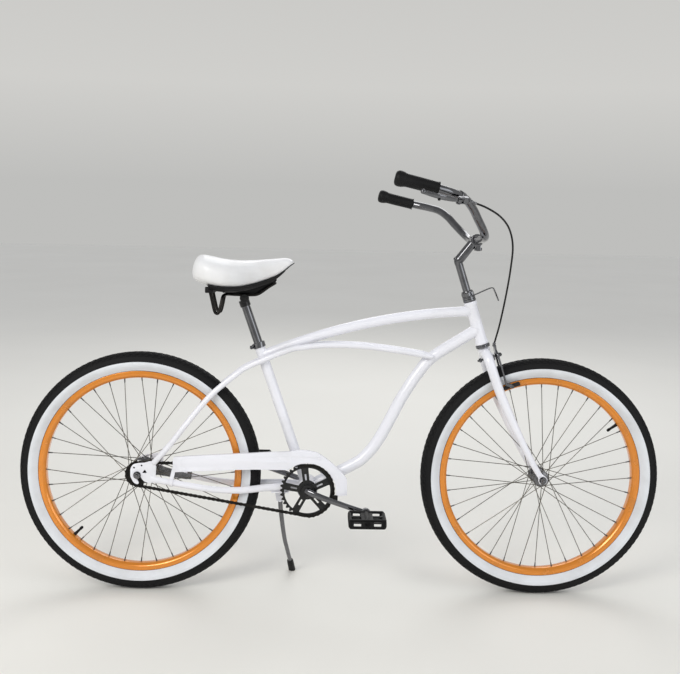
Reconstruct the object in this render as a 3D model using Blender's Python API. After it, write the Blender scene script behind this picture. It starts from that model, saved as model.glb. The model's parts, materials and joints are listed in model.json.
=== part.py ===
"""A beach cruiser bicycle: frame, fork, wheels, drive, brake, stand and saddle as separate pieces.

Metres. X runs forward, Y to the rider's left and Z up. Every shape is drawn on an upright bicycle
whose origin is on the ground midway between the axles. One empty then leans the whole bicycle over
until it stands on two tyres and its kickstand, and each moving piece hangs from an empty that sits
on its own joint axis.
"""

import math

import bmesh
import bpy
from mathutils import Matrix, Vector

# Wheels
WHEELBASE = 1.118
TYRE_RADIUS = 0.336
TYRE_HEIGHT = 0.0545
TYRE_HALF_WIDTH = 0.0275
RIM_RADIUS = TYRE_RADIUS - TYRE_HEIGHT
RIM_DEPTH = 0.0195
RIM_HALF_WIDTH = 0.018
WHEEL_STEPS = 32
SPOKES = 36
SPOKE_RADIUS = 0.001

# Frame
TYRE_TO_BRACKET = 0.1317
CHAINSTAY_LENGTH = TYRE_RADIUS + TYRE_TO_BRACKET
BRACKET_DROP = 0.040
SEAT_ANGLE = math.radians(70.5)
HEAD_ANGLE = math.radians(72.0)
FORK_OFFSET = 0.048
SEAT_TUBE_LENGTH = 0.4286
TYRE_TO_HEAD_TUBE = 0.0707
HEAD_TUBE_START = TYRE_RADIUS + TYRE_TO_HEAD_TUBE
HEAD_TUBE_LENGTH = 0.1231
HEAD_TUBE_RADIUS = 0.0165
TOP_TUBE_RADIUS = 0.014
DOWN_TUBE_RADIUS = 0.0165
SEAT_TUBE_RADIUS = 0.0143
STAY_RADIUS = 0.008
TUBE_WALL = 0.0016
STAND_RADIUS = 0.0058
FRONT_AXLE_RADIUS = 0.0045
REAR_AXLE_RADIUS = 0.0048
DROPOUT_INNER = 0.056
DROPOUT_THICKNESS = 0.005
SHELL_RADIUS = 0.0285
SHELL_HALF_LENGTH = 0.034

# Drive
CRANK_LENGTH = 0.170
CRANK_ANGLE = math.radians(-18.0)
CHAIN_PITCH = 0.0127
CHAINRING_TEETH = 36
SPROCKET_TEETH = 16
CHAIN_LINE = 0.045
PEDAL_LENGTH = 0.100
PEDAL_WIDTH = 0.090
PEDAL_HEIGHT = 0.026
PEDAL_PIN_RADIUS = 0.0058
SPINDLE_RADIUS = 0.0096
GUARD_PLANE = 0.0625

# Steering
STEERER_RADIUS = 0.0127
QUILL_RADIUS = 0.0110
BAR_RADIUS = 0.011
STEM_RISE = 0.1102
STEM_HEIGHT = HEAD_TUBE_START + HEAD_TUBE_LENGTH + STEM_RISE
GRIP_RADIUS = 0.016
BRAKE_DROP = 0.0427
PAD_HEIGHT = RIM_RADIUS - 0.0077

# Saddle
POST_RADIUS = 0.0123
POST_TOP = 0.548
POST_BOTTOM = 0.270
SADDLE_HALF_WIDTH = 0.122
RAIL_RADIUS = 0.0042
RAIL_SPREAD = 0.022
SADDLE_TURN = math.radians(4.0)

# Stance
LEAN = math.radians(4.5)
GAP = 0.0003


def clear_scene():
    for obj in list(bpy.data.objects):
        bpy.data.objects.remove(obj, do_unlink=True)


# Landmarks of the upright bicycle


def rear_axle():
    return Vector((-WHEELBASE / 2, 0.0, TYRE_RADIUS))


def front_axle():
    return Vector((WHEELBASE / 2, 0.0, TYRE_RADIUS))


def bracket_centre():
    reach = math.sqrt(CHAINSTAY_LENGTH**2 - BRACKET_DROP**2)
    return rear_axle() + Vector((reach, 0.0, -BRACKET_DROP))


def steer(height, forward=0.0, side=0.0):
    """A point given by its height up the steering axis, from the fork's foot, and how far ahead it is."""
    up = Vector((-math.cos(HEAD_ANGLE), 0.0, math.sin(HEAD_ANGLE)))
    ahead = Vector((math.sin(HEAD_ANGLE), 0.0, math.cos(HEAD_ANGLE)))
    foot = front_axle() - ahead * FORK_OFFSET
    return foot + up * height + ahead * forward + Vector((0.0, side, 0.0))


def seat_line(distance):
    """A point on the seat tube's axis, measured up from the bottom bracket."""
    up = Vector((-math.cos(SEAT_ANGLE), 0.0, math.sin(SEAT_ANGLE)))
    return bracket_centre() + up * distance


def pitch_radius(teeth):
    return CHAIN_PITCH / (2 * math.sin(math.pi / teeth))


def crank_point(reach, side):
    """A point on the crank arm: right of the bicycle when side is -1, left when it is 1."""
    turn = CRANK_ANGLE if side < 0 else CRANK_ANGLE + math.pi
    return bracket_centre() + Vector((math.cos(turn), 0.0, math.sin(turn))) * reach


def arched(start, end, shape):
    """Points between two ends. Each pair is how far along and how far off, as parts of the length."""
    line = end - start
    off = Vector((line.z, 0.0, -line.x))
    return [start + line * along + off * aside for along, aside in shape]


def smooth(points, parts=2):
    """A curve through the points, with each span cut into the given number of parts."""
    points = [Vector(point) for point in points]
    padded = [points[0] * 2 - points[1], *points, points[-1] * 2 - points[-2]]
    curve = []
    for i in range(1, len(padded) - 2):
        before, start, end, after = padded[i - 1 : i + 3]
        for step in range(parts):
            t = step / parts
            curve.append(
                0.5
                * (
                    2 * start
                    + (end - before) * t
                    + (2 * before - 5 * start + 4 * end - after) * t**2
                    + (3 * start - before - 3 * end + after) * t**3
                )
            )
    return [*curve, points[-1]]


def between(values, parts=2):
    """One size per point of the smooth curve."""
    sizes = []
    for first, second in zip(values, values[1:]):
        sizes += [first + (second - first) * step / parts for step in range(parts)]
    return [*sizes, values[-1]]


# Shapes, each returned as a closed mesh


def solid(verts, faces):
    mesh = bpy.data.meshes.new("shape")
    mesh.from_pydata([tuple(vert) for vert in verts], [], faces)
    shape = bmesh.new()
    shape.from_mesh(mesh)
    bmesh.ops.recalc_face_normals(shape, faces=shape.faces)
    if shape.calc_volume(signed=True) < 0:
        bmesh.ops.reverse_faces(shape, faces=shape.faces)
    shape.to_mesh(mesh)
    shape.free()
    return mesh


def sweep(path, widths, heights=None, sides=8, across=(0, 1, 0), wall=0.0):
    """A bar along the path. Widths are half sizes in the across direction. A wall leaves it hollow."""
    count = len(path)
    path = [Vector(point) for point in path]
    widths = list(widths) if hasattr(widths, "__len__") else [widths] * count
    heights = widths if heights is None else heights
    heights = list(heights) if hasattr(heights, "__len__") else [heights] * count
    side = Vector(across)
    layers = (0.0, wall) if wall else (0.0,)
    verts = []
    for i, point in enumerate(path):
        ahead = path[min(i + 1, count - 1)] - path[max(i - 1, 0)]
        ahead.normalize()
        side = (side - ahead * side.dot(ahead)).normalized()
        over = ahead.cross(side)
        for layer in layers:
            for k in range(sides):
                turn = 2 * math.pi * (k + 0.5) / sides
                verts.append(
                    point
                    + side * (widths[i] - layer) * math.cos(turn)
                    + over * (heights[i] - layer) * math.sin(turn)
                )
    row = sides * len(layers)
    faces = []
    for i in range(count - 1):
        for layer in range(len(layers)):
            for k in range(sides):
                a = i * row + layer * sides + k
                b = i * row + layer * sides + (k + 1) % sides
                faces.append((a, b, b + row, a + row))
    for start in (0, (count - 1) * row):
        if wall:
            for k in range(sides):
                near, far = start + k, start + (k + 1) % sides
                faces.append((near, far, far + sides, near + sides))
        else:
            faces.append(tuple(range(start, start + sides)))
    return solid(verts, faces)


def lathe(centre, profile, steps, axis=(0, 1, 0), ring=False, turn=0.0):
    """The profile of (along the axis, radius) pairs turned round. A ring's profile closes on itself."""
    axis = Vector(axis).normalized()
    first = Vector((0, 0, -1)) if abs(axis.z) < 0.9 else Vector((1, 0, 0))
    first = (first - axis * first.dot(axis)).normalized()
    second = axis.cross(first)
    verts = []
    for k in range(steps):
        angle = 2 * math.pi * (k + 0.5) / steps + turn
        out = first * math.cos(angle) + second * math.sin(angle)
        for along, radius in profile:
            verts.append(Vector(centre) + axis * along + out * radius)
    size = len(profile)
    spans = size if ring else size - 1
    faces = []
    for k in range(steps):
        near, far = k * size, (k + 1) % steps * size
        for j in range(spans):
            following = (j + 1) % size
            faces.append((near + j, near + following, far + following, far + j))
    if not ring:
        faces.append(tuple(k * size for k in range(steps)))
        faces.append(tuple(k * size + size - 1 for k in range(steps)))
    return solid(verts, faces)


def rod(start, end, radius, sides=8):
    start, end = Vector(start), Vector(end)
    length = (end - start).length
    return lathe(start, [(0.0, radius), (length, radius)], sides, axis=end - start)


def box(low, high):
    verts = [(x, y, z) for x in (low[0], high[0]) for y in (low[1], high[1]) for z in (low[2], high[2])]
    faces = [(0, 1, 3, 2), (4, 6, 7, 5), (0, 4, 5, 1), (2, 3, 7, 6), (0, 2, 6, 4), (1, 5, 7, 3)]
    return solid(verts, faces)


def plate(outline, low, high, holes=()):
    """A flat outline of (x, z) points, with holes, made solid between two sideways positions."""
    shape = bmesh.new()
    edges = []
    for loop in (outline, *holes):
        corners = [shape.verts.new((x, low, z)) for x, z in loop]
        edges += [shape.edges.new((corners[i - 1], corners[i])) for i in range(len(corners))]
    bmesh.ops.triangle_fill(shape, use_beauty=True, use_dissolve=False, edges=edges)
    grown = bmesh.ops.extrude_face_region(shape, geom=shape.faces[:])
    moved = [item for item in grown["geom"] if isinstance(item, bmesh.types.BMVert)]
    bmesh.ops.translate(shape, verts=moved, vec=(0.0, high - low, 0.0))
    bmesh.ops.recalc_face_normals(shape, faces=shape.faces)
    if shape.calc_volume(signed=True) < 0:
        bmesh.ops.reverse_faces(shape, faces=shape.faces)
    mesh = bpy.data.meshes.new("plate")
    shape.to_mesh(mesh)
    shape.free()
    return mesh


def ring_points(centre, radius, count, start=0.0, end=2 * math.pi, closed=True):
    """(x, z) points round a circle, or along an arc of it when it isn't closed."""
    steps = count if closed else count - 1
    angles = [start + (end - start) * k / steps for k in range(count)]
    return [(centre[0] + radius * math.cos(a), centre[1] + radius * math.sin(a)) for a in angles]


def combine(base, others, operation):
    """The base joined to the other shapes, or with them cut out of it."""
    holder = bpy.data.collections.new("operands")
    bpy.context.scene.collection.children.link(holder)
    target = bpy.data.objects.new("target", base)
    bpy.context.scene.collection.objects.link(target)
    for other in others:
        holder.objects.link(bpy.data.objects.new("operand", other))
    change = target.modifiers.new("change", "BOOLEAN")
    change.operation = operation
    change.operand_type = "COLLECTION"
    change.collection = holder
    change.solver = "EXACT"
    graph = bpy.context.evaluated_depsgraph_get()
    result = bpy.data.meshes.new_from_object(target.evaluated_get(graph))
    for obj in [target, *holder.objects]:
        bpy.data.objects.remove(obj, do_unlink=True)
    bpy.data.collections.remove(holder)
    return result


def joined(*shapes):
    return combine(shapes[0], shapes[1:], "UNION")


def cut(base, *cutters):
    return combine(base, cutters, "DIFFERENCE")


def mirrored(mesh):
    """The same shape on the other side of the bicycle."""
    other = mesh.copy()
    other.transform(Matrix.Scale(-1.0, 4, (0, 1, 0)))
    other.flip_normals()
    return other


def hollow(path, widths, heights, sides, wall):
    """A closed tube with a small breather hole, as welded tubes have, near its start."""
    outer = sweep(path, widths, heights, sides)
    core = [path[0].lerp(path[1], 0.3), *path[1:-1], path[-1].lerp(path[-2], 0.3)]
    inner = sweep(core, [width - wall for width in widths], [height - wall for height in heights], 6)
    vent = rod(path[2], path[2] - Vector((0, 0, 0.03)), 0.0013, 6)
    return cut(outer, inner, vent)


# Materials


def make_material(name, colour, roughness, metallic=0.0):
    material = bpy.data.materials.new(name)
    material.use_nodes = True
    shader = material.node_tree.nodes["Principled BSDF"]
    shader.inputs["Base Color"].default_value = (*colour, 1.0)
    shader.inputs["Roughness"].default_value = roughness
    shader.inputs["Metallic"].default_value = metallic
    material.diffuse_color = (*colour, 1.0)
    return material


def make_materials():
    recipes = {
        "white_paint": ((0.78, 0.78, 0.82), 0.22, 0.0),
        "orange_paint": ((0.72, 0.24, 0.02), 0.25, 0.35),
        "chrome": ((0.62, 0.62, 0.64), 0.12, 1.0),
        "steel": ((0.42, 0.42, 0.43), 0.32, 1.0),
        "dark_steel": ((0.10, 0.10, 0.10), 0.40, 0.8),
        "black_paint": ((0.018, 0.018, 0.020), 0.35, 0.2),
        "tyre_rubber": ((0.022, 0.021, 0.022), 0.70, 0.0),
        "grip_rubber": ((0.020, 0.020, 0.020), 0.60, 0.0),
        "black_plastic": ((0.020, 0.020, 0.021), 0.48, 0.0),
        "saddle_cover": ((0.76, 0.75, 0.73), 0.45, 0.0),
        "brake_rubber": ((0.030, 0.028, 0.028), 0.80, 0.0),
    }
    return {name: make_material(name, *recipe) for name, recipe in recipes.items()}


# Bodies: each hangs from an empty on its joint axis


def lever_pivot():
    return steer(STEM_HEIGHT + 0.1610, 0.0, -0.318)


def stand_pivot():
    return bracket_centre() + Vector((-0.077, 0.029, -0.038))


def brake_height():
    """How high up the steering axis the brake's bolt goes through the fork's crown."""
    return HEAD_TUBE_START - BRAKE_DROP


def caliper_pivot():
    return steer(brake_height(), 0.0305)


def body_places():
    """Each body's parent and the point on its axis."""
    return {
        "frame": (None, Vector((0.0, 0.0, 0.0))),
        "steering": ("frame", steer(HEAD_TUBE_START + HEAD_TUBE_LENGTH)),
        "front_wheel": ("steering", front_axle()),
        "brake_lever": ("steering", lever_pivot()),
        "caliper_right": ("steering", caliper_pivot()),
        "caliper_left": ("steering", caliper_pivot()),
        "rear_wheel": ("frame", rear_axle()),
        "rear_driver": ("frame", rear_axle() + Vector((0.0, -CHAIN_LINE, 0.0))),
        "crank": ("frame", bracket_centre()),
        "pedal_right": ("crank", crank_point(CRANK_LENGTH, -1)),
        "pedal_left": ("crank", crank_point(CRANK_LENGTH, 1)),
        "kickstand": ("frame", stand_pivot()),
        "seat": ("frame", seat_line(SEAT_TUBE_LENGTH)),
    }


def make_bodies():
    places = body_places()
    empties = {}
    for name, (parent, origin) in places.items():
        empty = bpy.data.objects.new(name + "_axis", None)
        empty.empty_display_size = 0.04
        bpy.context.scene.collection.objects.link(empty)
        if parent:
            empty.parent = empties[parent]
            empty.location = origin - places[parent][1]
        empties[name] = empty
    empties["frame"].rotation_euler.x = -LEAN
    return empties


class Bicycle:
    """Collects the pieces, puts each one under its body's empty and gives it its material."""

    def __init__(self):
        self.materials = make_materials()
        self.places = body_places()
        self.empties = make_bodies()
        self.pieces = []

    def add(self, name, mesh, material, body="frame", crease=34.0):
        mesh.name = name
        mesh.transform(Matrix.Translation(-self.places[body][1]))
        mesh.materials.clear()
        mesh.materials.append(self.materials[material])
        mesh.polygons.foreach_set("use_smooth", [True] * len(mesh.polygons))
        mesh.set_sharp_from_angle(angle=math.radians(crease))
        piece = bpy.data.objects.new(name, mesh)
        bpy.context.scene.collection.objects.link(piece)
        piece.parent = self.empties[body]
        self.pieces.append(piece)
        return piece


# Frame


def clear_of(radius, sides):
    """The radius of a many-sided bore that just clears a round piece of the given radius."""
    return (radius + GAP) / math.cos(math.pi / sides)


def head_cutter():
    low, high = steer(HEAD_TUBE_START - 0.10), steer(HEAD_TUBE_START + HEAD_TUBE_LENGTH + 0.10)
    return rod(low, high, clear_of(HEAD_TUBE_RADIUS, 18), 18)


def seat_cutter():
    return rod(seat_line(0.02), seat_line(0.60), clear_of(SEAT_TUBE_RADIUS, 18), 18)


def shell_cutter():
    side = Vector((0, 0.06, 0))
    return rod(bracket_centre() - side, bracket_centre() + side, clear_of(SHELL_RADIUS, 18), 18)


def down_tube_path():
    start = steer(HEAD_TUBE_START + 0.36 * HEAD_TUBE_LENGTH)
    shape = [
        (0.0, 0.0),
        (0.059, 0.01121),
        (0.221, 0.04361),
        (0.311, 0.03685),
        (0.437, 0.00691),
        (0.523, -0.02257),
        (0.639, -0.06003),
        (0.728, -0.07216),
        (0.795, -0.06218),
        (1.0, 0.0),
    ]
    return arched(start, bracket_centre(), shape)


def top_tube_path():
    start = steer(HEAD_TUBE_START + 0.78 * HEAD_TUBE_LENGTH)
    end = seat_line(SEAT_TUBE_LENGTH - 0.0365)
    rise = 0.045
    shape = [(t, rise * 4 * t * (1 - t)) for t in (0.0, 0.08, 0.2, 0.35, 0.5, 0.65, 0.8, 0.92, 1.0)]
    return arched(start, end, shape)


def stay_meeting():
    """Where the long stays pass beside the seat tube."""
    return seat_line(SEAT_TUBE_LENGTH - 0.0430)


def head_tube():
    low = HEAD_TUBE_START
    high = low + HEAD_TUBE_LENGTH
    return sweep([steer(low), steer(high)], HEAD_TUBE_RADIUS, sides=18, wall=HEAD_TUBE_RADIUS - 0.0150)


def top_tube():
    tube = sweep(top_tube_path(), TOP_TUBE_RADIUS, sides=10, wall=TUBE_WALL)
    return cut(tube, head_cutter(), seat_cutter())


def down_tube():
    points = down_tube_path()
    path = points[:2] + smooth(points[2:-1], 2)[:-1] + [points[-2], bracket_centre()]
    tube = sweep(path, DOWN_TUBE_RADIUS, sides=10, wall=TUBE_WALL)
    return cut(tube, head_cutter(), shell_cutter())


def seat_tube():
    tube = sweep(
        [seat_line(0.0), seat_line(SEAT_TUBE_LENGTH)],
        SEAT_TUBE_RADIUS,
        sides=18,
        wall=SEAT_TUBE_RADIUS - clear_of(POST_RADIUS, 18),
    )
    return cut(tube, shell_cutter())


def bottom_bracket_shell():
    inner = 0.0258
    profile = [
        (-SHELL_HALF_LENGTH, inner),
        (-SHELL_HALF_LENGTH, SHELL_RADIUS),
        (SHELL_HALF_LENGTH, SHELL_RADIUS),
        (SHELL_HALF_LENGTH, inner),
    ]
    return lathe(bracket_centre(), profile, 18, ring=True)


def long_stay(side):
    """One of the pair that runs from a rear dropout, past the seat tube, to the down tube."""
    beside_seat = SEAT_TUBE_RADIUS + STAY_RADIUS + 0.0005
    beside_down = DOWN_TUBE_RADIUS + STAY_RADIUS + 0.0005
    middle = DROPOUT_INNER + DROPOUT_THICKNESS / 2
    start = rear_axle() + Vector((0.0451, 0.0, 0.0343))
    meeting = stay_meeting()
    end = down_tube_path()[2] + Vector((-0.006, 0.0, 0.002))
    rear = [(0.0, 0.0), (0.14, -0.010), (0.36, -0.040), (0.58, -0.062), (0.78, -0.048), (0.90, -0.026)]
    front = [
        (0.0, 0.0),
        (0.15, -0.046),
        (0.24, -0.062),
        (0.37, -0.074),
        (0.57, -0.068),
        (0.76, -0.044),
        (0.91, -0.018),
        (1.0, 0.0),
    ]
    points = arched(start, meeting, rear) + arched(meeting, end, front)
    offsets = [middle, middle - 0.0005, 0.0505, 0.0425, 0.0335, 0.0265]
    offsets += [beside_seat] * 5 + [beside_seat + 0.001, beside_down, beside_down]
    for point, offset in zip(points, offsets):
        point.y = side * offset
    path = points[:6] + points[7:]
    sizes = [STAY_RADIUS] * len(path)
    sizes[-1] *= 0.7
    return hollow(path, sizes, sizes, 8, 0.0015)


def dropout(side):
    """The slotted plate at the end of a chainstay."""
    axle = rear_axle()
    outline = [
        (0.0525, 0.0273),
        (0.0365, 0.0397),
        (0.0210, 0.0345),
        (0.0040, 0.0335),
        (-0.0120, 0.0295),
        (-0.0185, 0.0180),
        (-0.0185, -0.0040),
        (-0.0100, -0.0205),
        (0.0000, -0.0262),
        (0.0060, -0.0225),
        (-0.0052, -0.0030),
        (-0.0058, 0.0016),
        (-0.0030, 0.0052),
        (0.0016, 0.0058),
        (0.0052, 0.0030),
        (0.0150, -0.0139),
        (0.0240, -0.0200),
        (0.0420, -0.0220),
        (0.0500, -0.0120),
    ]
    outline = [(axle.x + x, axle.z + z) for x, z in outline]
    holes = [
        ring_points((axle.x - 0.0085, axle.z + 0.0205), 0.0026, 6),
        ring_points((axle.x + 0.0120, axle.z + 0.0265), 0.0026, 6),
        [(axle.x + x, axle.z + z) for x, z in ((0.0135, 0.0060), (0.0270, 0.0060), (0.0215, 0.0160))],
    ]
    near = side * DROPOUT_INNER
    far = side * (DROPOUT_INNER + DROPOUT_THICKNESS)
    return plate(outline, min(near, far), max(near, far), holes)


def chainstay(side):
    """A stay with its dropout: it starts low beside the bottom bracket and spreads to clear the tyre."""
    axle, bracket = rear_axle(), bracket_centre()
    middle = DROPOUT_INNER + DROPOUT_THICKNESS / 2
    shape = [
        (0.076, 0.0075),
        (0.155, 0.0099),
        (0.285, 0.0150),
        (0.447, 0.0209),
        (0.610, 0.0180),
        (0.740, 0.0079),
        (0.86, 0.0015),
        (0.99, 0.0),
    ]
    points = [axle.lerp(bracket, along) + Vector((0, 0, -off)) for along, off in shape]
    offsets = [middle, middle, 0.0572, 0.0515, 0.0415, 0.0320, 0.0275, 0.0265]
    for point, offset in zip(points, offsets):
        point.y = side * offset
    widths = [0.0040, 0.0072, 0.0080, 0.0080, 0.0080, 0.0072, 0.0066, 0.0064]
    heights = [0.0095, 0.0088, 0.0088, 0.0090, 0.0095, 0.0100, 0.0105, 0.0105]
    tube = sweep(points, widths, heights, 8, wall=0.0014)
    tube = joined(tube, dropout(side))
    return cut(tube, shell_cutter())


def headset_cup(low, high, flare):
    """A bearing cup pressed into the head tube: its skirt is inside the tube and its rim outside."""
    top = high > low
    skirt = 0.010 if top else -0.010
    profile = [
        (-skirt, 0.0143),
        (-GAP if top else GAP, 0.0143),
        (0.0, flare - 0.002),
        ((high - low) * 0.4, flare),
        (high - low, flare),
        (high - low, 0.0134),
        (-skirt, 0.0134),
    ]
    start = steer(low)
    return lathe(start, profile, 12, axis=steer(1.0) - steer(0.0), ring=True)


def seat_clamp():
    """The split collar that pinches the top of the seat tube, with its bolt behind."""
    up = seat_line(1.0) - seat_line(0.0)
    start = seat_line(SEAT_TUBE_LENGTH - 0.0135)
    inner, outer = clear_of(SEAT_TUBE_RADIUS, 14), SEAT_TUBE_RADIUS + 0.0035
    profile = [(0.0, inner), (0.0, outer), (0.0150, outer), (0.0150, inner)]
    collar = lathe(start, profile, 14, axis=up, ring=True)
    back = up.cross(Vector((0, 1, 0))).normalized()
    if back.x > 0:
        back = -back
    middle = start + up * 0.0075 + back * (outer + 0.0035)
    lug = rod(middle - back * 0.0065, middle + back * 0.0040, 0.0058, 6)
    bolt = rod(middle + Vector((0, -0.013, 0)), middle + Vector((0, 0.013, 0)), 0.0030, 6)
    head = rod(middle + Vector((0, -0.0165, 0)), middle + Vector((0, -0.0120, 0)), 0.0046, 6)
    return joined(collar, lug, bolt, head)


def guard_outline():
    """The chain guard from the side, and the same outline drawn in by the thickness of its turned edge."""
    axle, bracket = rear_axle(), bracket_centre()
    lip = 0.0014
    upper = [(0.0975, 0.0470), (0.1000, 0.0515), (0.171, 0.0568), (0.280, 0.0640), (0.363, 0.0688)]
    crown = [
        (-0.050, 0.1115),
        (-0.028, 0.1155),
        (-0.006, 0.1155),
        (0.014, 0.1120),
        (0.030, 0.1075),
        (0.067, 0.0813),
        (0.0964, 0.0525),
        (0.106, 0.0410),
        (0.1095, 0.0300),
        (0.1100, -0.0075),
    ]
    lower = [(0.321, 0.0205), (0.281, 0.0194), (0.171, 0.0135), (0.1000, 0.0100), (0.0975, 0.0135)]
    top = [(axle.x + x, axle.z + z) for x, z in upper] + [(bracket.x + x, bracket.z + z) for x, z in crown]
    first, last = math.radians(-8), math.radians(131)
    arc = ring_points((bracket.x, bracket.z), 0.0800, 12, first, last, closed=False)
    bottom = [(axle.x + x, axle.z + z) for x, z in lower]
    edge = top + arc + bottom
    within = [(x, z - lip) for x, z in top[:9]] + [(x - lip, z - lip) for x, z in top[9:-1]]
    within = [(axle.x + 0.06, axle.z + 0.0487)] + within[2:]
    within += [(top[-1][0] - lip, bracket.z - 0.05), (axle.x + 0.06, bracket.z - 0.05)]
    return edge, within


def chain_guard():
    edge, within = guard_outline()
    screws = [ring_points(place, 0.0032, 6) for place in guard_screws()]
    skin = plate(edge, -GUARD_PLANE, -GUARD_PLANE + 0.0125, screws)
    inside = plate(within, -GUARD_PLANE + 0.0014, -GUARD_PLANE + 0.03)
    return cut(skin, inside)


def guard_screws():
    """Where the rear and the front screw go through the guard."""
    axle, bracket = rear_axle(), bracket_centre()
    return (axle.x + 0.1030, axle.z + 0.0230), (bracket.x + 0.0320, bracket.z + 0.0945)


def guard_screw(place, start):
    """A screw that reaches out through the guard, with its round head in front."""
    x, z = place
    shaft = rod((x, start, z), (x, -GUARD_PLANE - 0.0008, z), 0.0026, 6)
    head = rod((x, -GUARD_PLANE - GAP, z), (x, -GUARD_PLANE - 0.0018, z), 0.0044, 8)
    return [shaft, head]


def guard_rear_bracket():
    """A band round the right chainstay with a strap that reaches up behind the guard."""
    axle = rear_axle()
    centre = axle + Vector((0.0930, -0.0581, -0.0196))
    along = Vector((1, 0, -0.17))
    profile = [(0.0, 0.0097), (0.0, 0.0112), (0.010, 0.0112), (0.010, 0.0097)]
    band = lathe(centre - along * 0.005, profile, 12, axis=along, ring=True)
    low, high = -GUARD_PLANE + 0.0017, -GUARD_PLANE + 0.0034
    corners = [(0.0885, -0.0092), (0.0995, -0.0092), (0.1085, 0.030), (0.0985, 0.032)]
    strap = plate([(axle.x + x, axle.z + z) for x, z in corners], low, high)
    foot = box((axle.x + 0.089, low, axle.z - 0.0094), (axle.x + 0.098, centre.y + 0.001, axle.z - 0.0068))
    return joined(band, strap, foot, *guard_screw(guard_screws()[0], low + 0.0005))


def guard_front_bracket():
    """A strap from the down tube that passes behind the chainring and out to the guard."""
    bracket = bracket_centre()
    points = [
        (0.040, -0.0172, 0.0430),
        (0.037, -0.030, 0.0500),
        (0.035, -0.0378, 0.0620),
        (0.033, -0.0385, 0.0840),
        (0.032, -0.0470, 0.0945),
        (0.032, -0.0606, 0.0945),
    ]
    path = [bracket + Vector(point) for point in points]
    strap = sweep(path, 0.0009, 0.0055, 4, across=(0, 0.6, 0.8))
    return joined(strap, *guard_screw(guard_screws()[1], -0.0560))


def stand_bracket():
    """The plate under the chainstays, with the pin that the kickstand turns on."""
    bracket, pivot = bracket_centre(), stand_pivot()
    top = bracket.z
    slab = box((bracket.x - 0.100, -0.036, top - 0.0105), (bracket.x - 0.052, 0.036, top - 0.0068))
    corners = [
        (bracket.x - 0.094, top - 0.008),
        (bracket.x - 0.060, top - 0.008),
        (pivot.x + 0.010, pivot.z - 0.006),
        (pivot.x, pivot.z - 0.011),
        (pivot.x - 0.010, pivot.z - 0.006),
    ]
    cheek = plate(corners, 0.0130, 0.0175)
    pin = rod((pivot.x, 0.0140, pivot.z), (pivot.x, 0.0440, pivot.z), 0.0045, 12)
    head = rod((pivot.x, 0.0405, pivot.z), (pivot.x, 0.0455, pivot.z), 0.0085, 6)
    return joined(slab, cheek, pin, head)


def coaster_arm():
    """The arm that keeps the rear hub's brake from turning, clipped to the left chainstay."""
    axle = rear_axle()
    low, high = 0.0425, 0.0452
    hole = ring_points((axle.x, axle.z), 0.0054, 10)
    outline = ring_points((axle.x, axle.z), 0.0180, 9, math.radians(60), math.radians(280), closed=False)
    end = [(0.120, -0.0340), (0.134, -0.0330), (0.134, -0.0190), (0.120, -0.0170)]
    outline += [(axle.x + x, axle.z + z) for x, z in end]
    strap = plate(outline, low, high, [hole])
    centre = axle + Vector((0.127, 0.0573, -0.0254))
    along = Vector((1, 0, -0.17))
    profile = [(0.0, 0.0100), (0.0, 0.0116), (0.012, 0.0116), (0.012, 0.0100)]
    band = lathe(centre - along * 0.006, profile, 12, axis=along, ring=True)
    near, far = Vector((centre.x, low + 0.001, centre.z)), Vector((centre.x, 0.0468, centre.z))
    link = box(near - Vector((0.005, 0, 0.004)), far + Vector((0.005, 0, 0.004)))
    return joined(strap, link, band)


# Drive


def wheel_nut(place, out, radius=0.0092):
    """A flanged hexagon nut on an axle. Out is 1 towards the rider's left and -1 towards the right."""
    profile = [(0.0, radius + 0.0012), (0.0018, radius + 0.0012), (0.0020, radius), (0.0085, radius)]
    return lathe(place, profile, 6, axis=(0, out, 0))


def rear_axle_piece():
    axle = rear_axle()
    outer = DROPOUT_INNER + DROPOUT_THICKNESS + GAP
    reach = Vector((0, outer + 0.0125, 0))
    spindle = rod(axle - reach, axle + reach, REAR_AXLE_RADIUS, 10)
    shapes = [spindle]
    for side in (-1, 1):
        shapes.append(wheel_nut(axle + Vector((0, side * outer, 0)), side))
    inner = DROPOUT_INNER - GAP
    shapes.append(rod(axle - Vector((0, inner, 0)), axle - Vector((0, 0.0535, 0)), 0.0085, 8))
    shapes.append(rod(axle + Vector((0, 0.0456, 0)), axle + Vector((0, inner, 0)), 0.0088, 8))
    return joined(*shapes)


def hub(axle, profile, flanges, flange_radius):
    """A hub shell and its laced spokes, as one turning piece."""
    shell = lathe(axle, profile, 10, ring=True)
    spokes = []
    per_flange = SPOKES // 2
    reach = (RIM_RADIUS - RIM_DEPTH) * math.cos(math.pi / WHEEL_STEPS) - GAP
    for index, flange in enumerate(flanges):
        for k in range(per_flange):
            way = 1 if k % 2 else -1
            rim_angle = 2 * math.pi * (k + 0.5 * index) / per_flange
            lead = rim_angle + way * math.radians(64)
            start = axle + Vector((math.cos(lead), 0.0, math.sin(lead))) * flange_radius
            start.y += flange + way * 0.0020
            end = axle + Vector((math.cos(rim_angle) * reach, 0.0, math.sin(rim_angle) * reach))
            end.y += 0.004 if flange > 0 else -0.004
            spokes.append(rod(start, end, SPOKE_RADIUS, 3))
    return joined(shell, *spokes)


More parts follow.
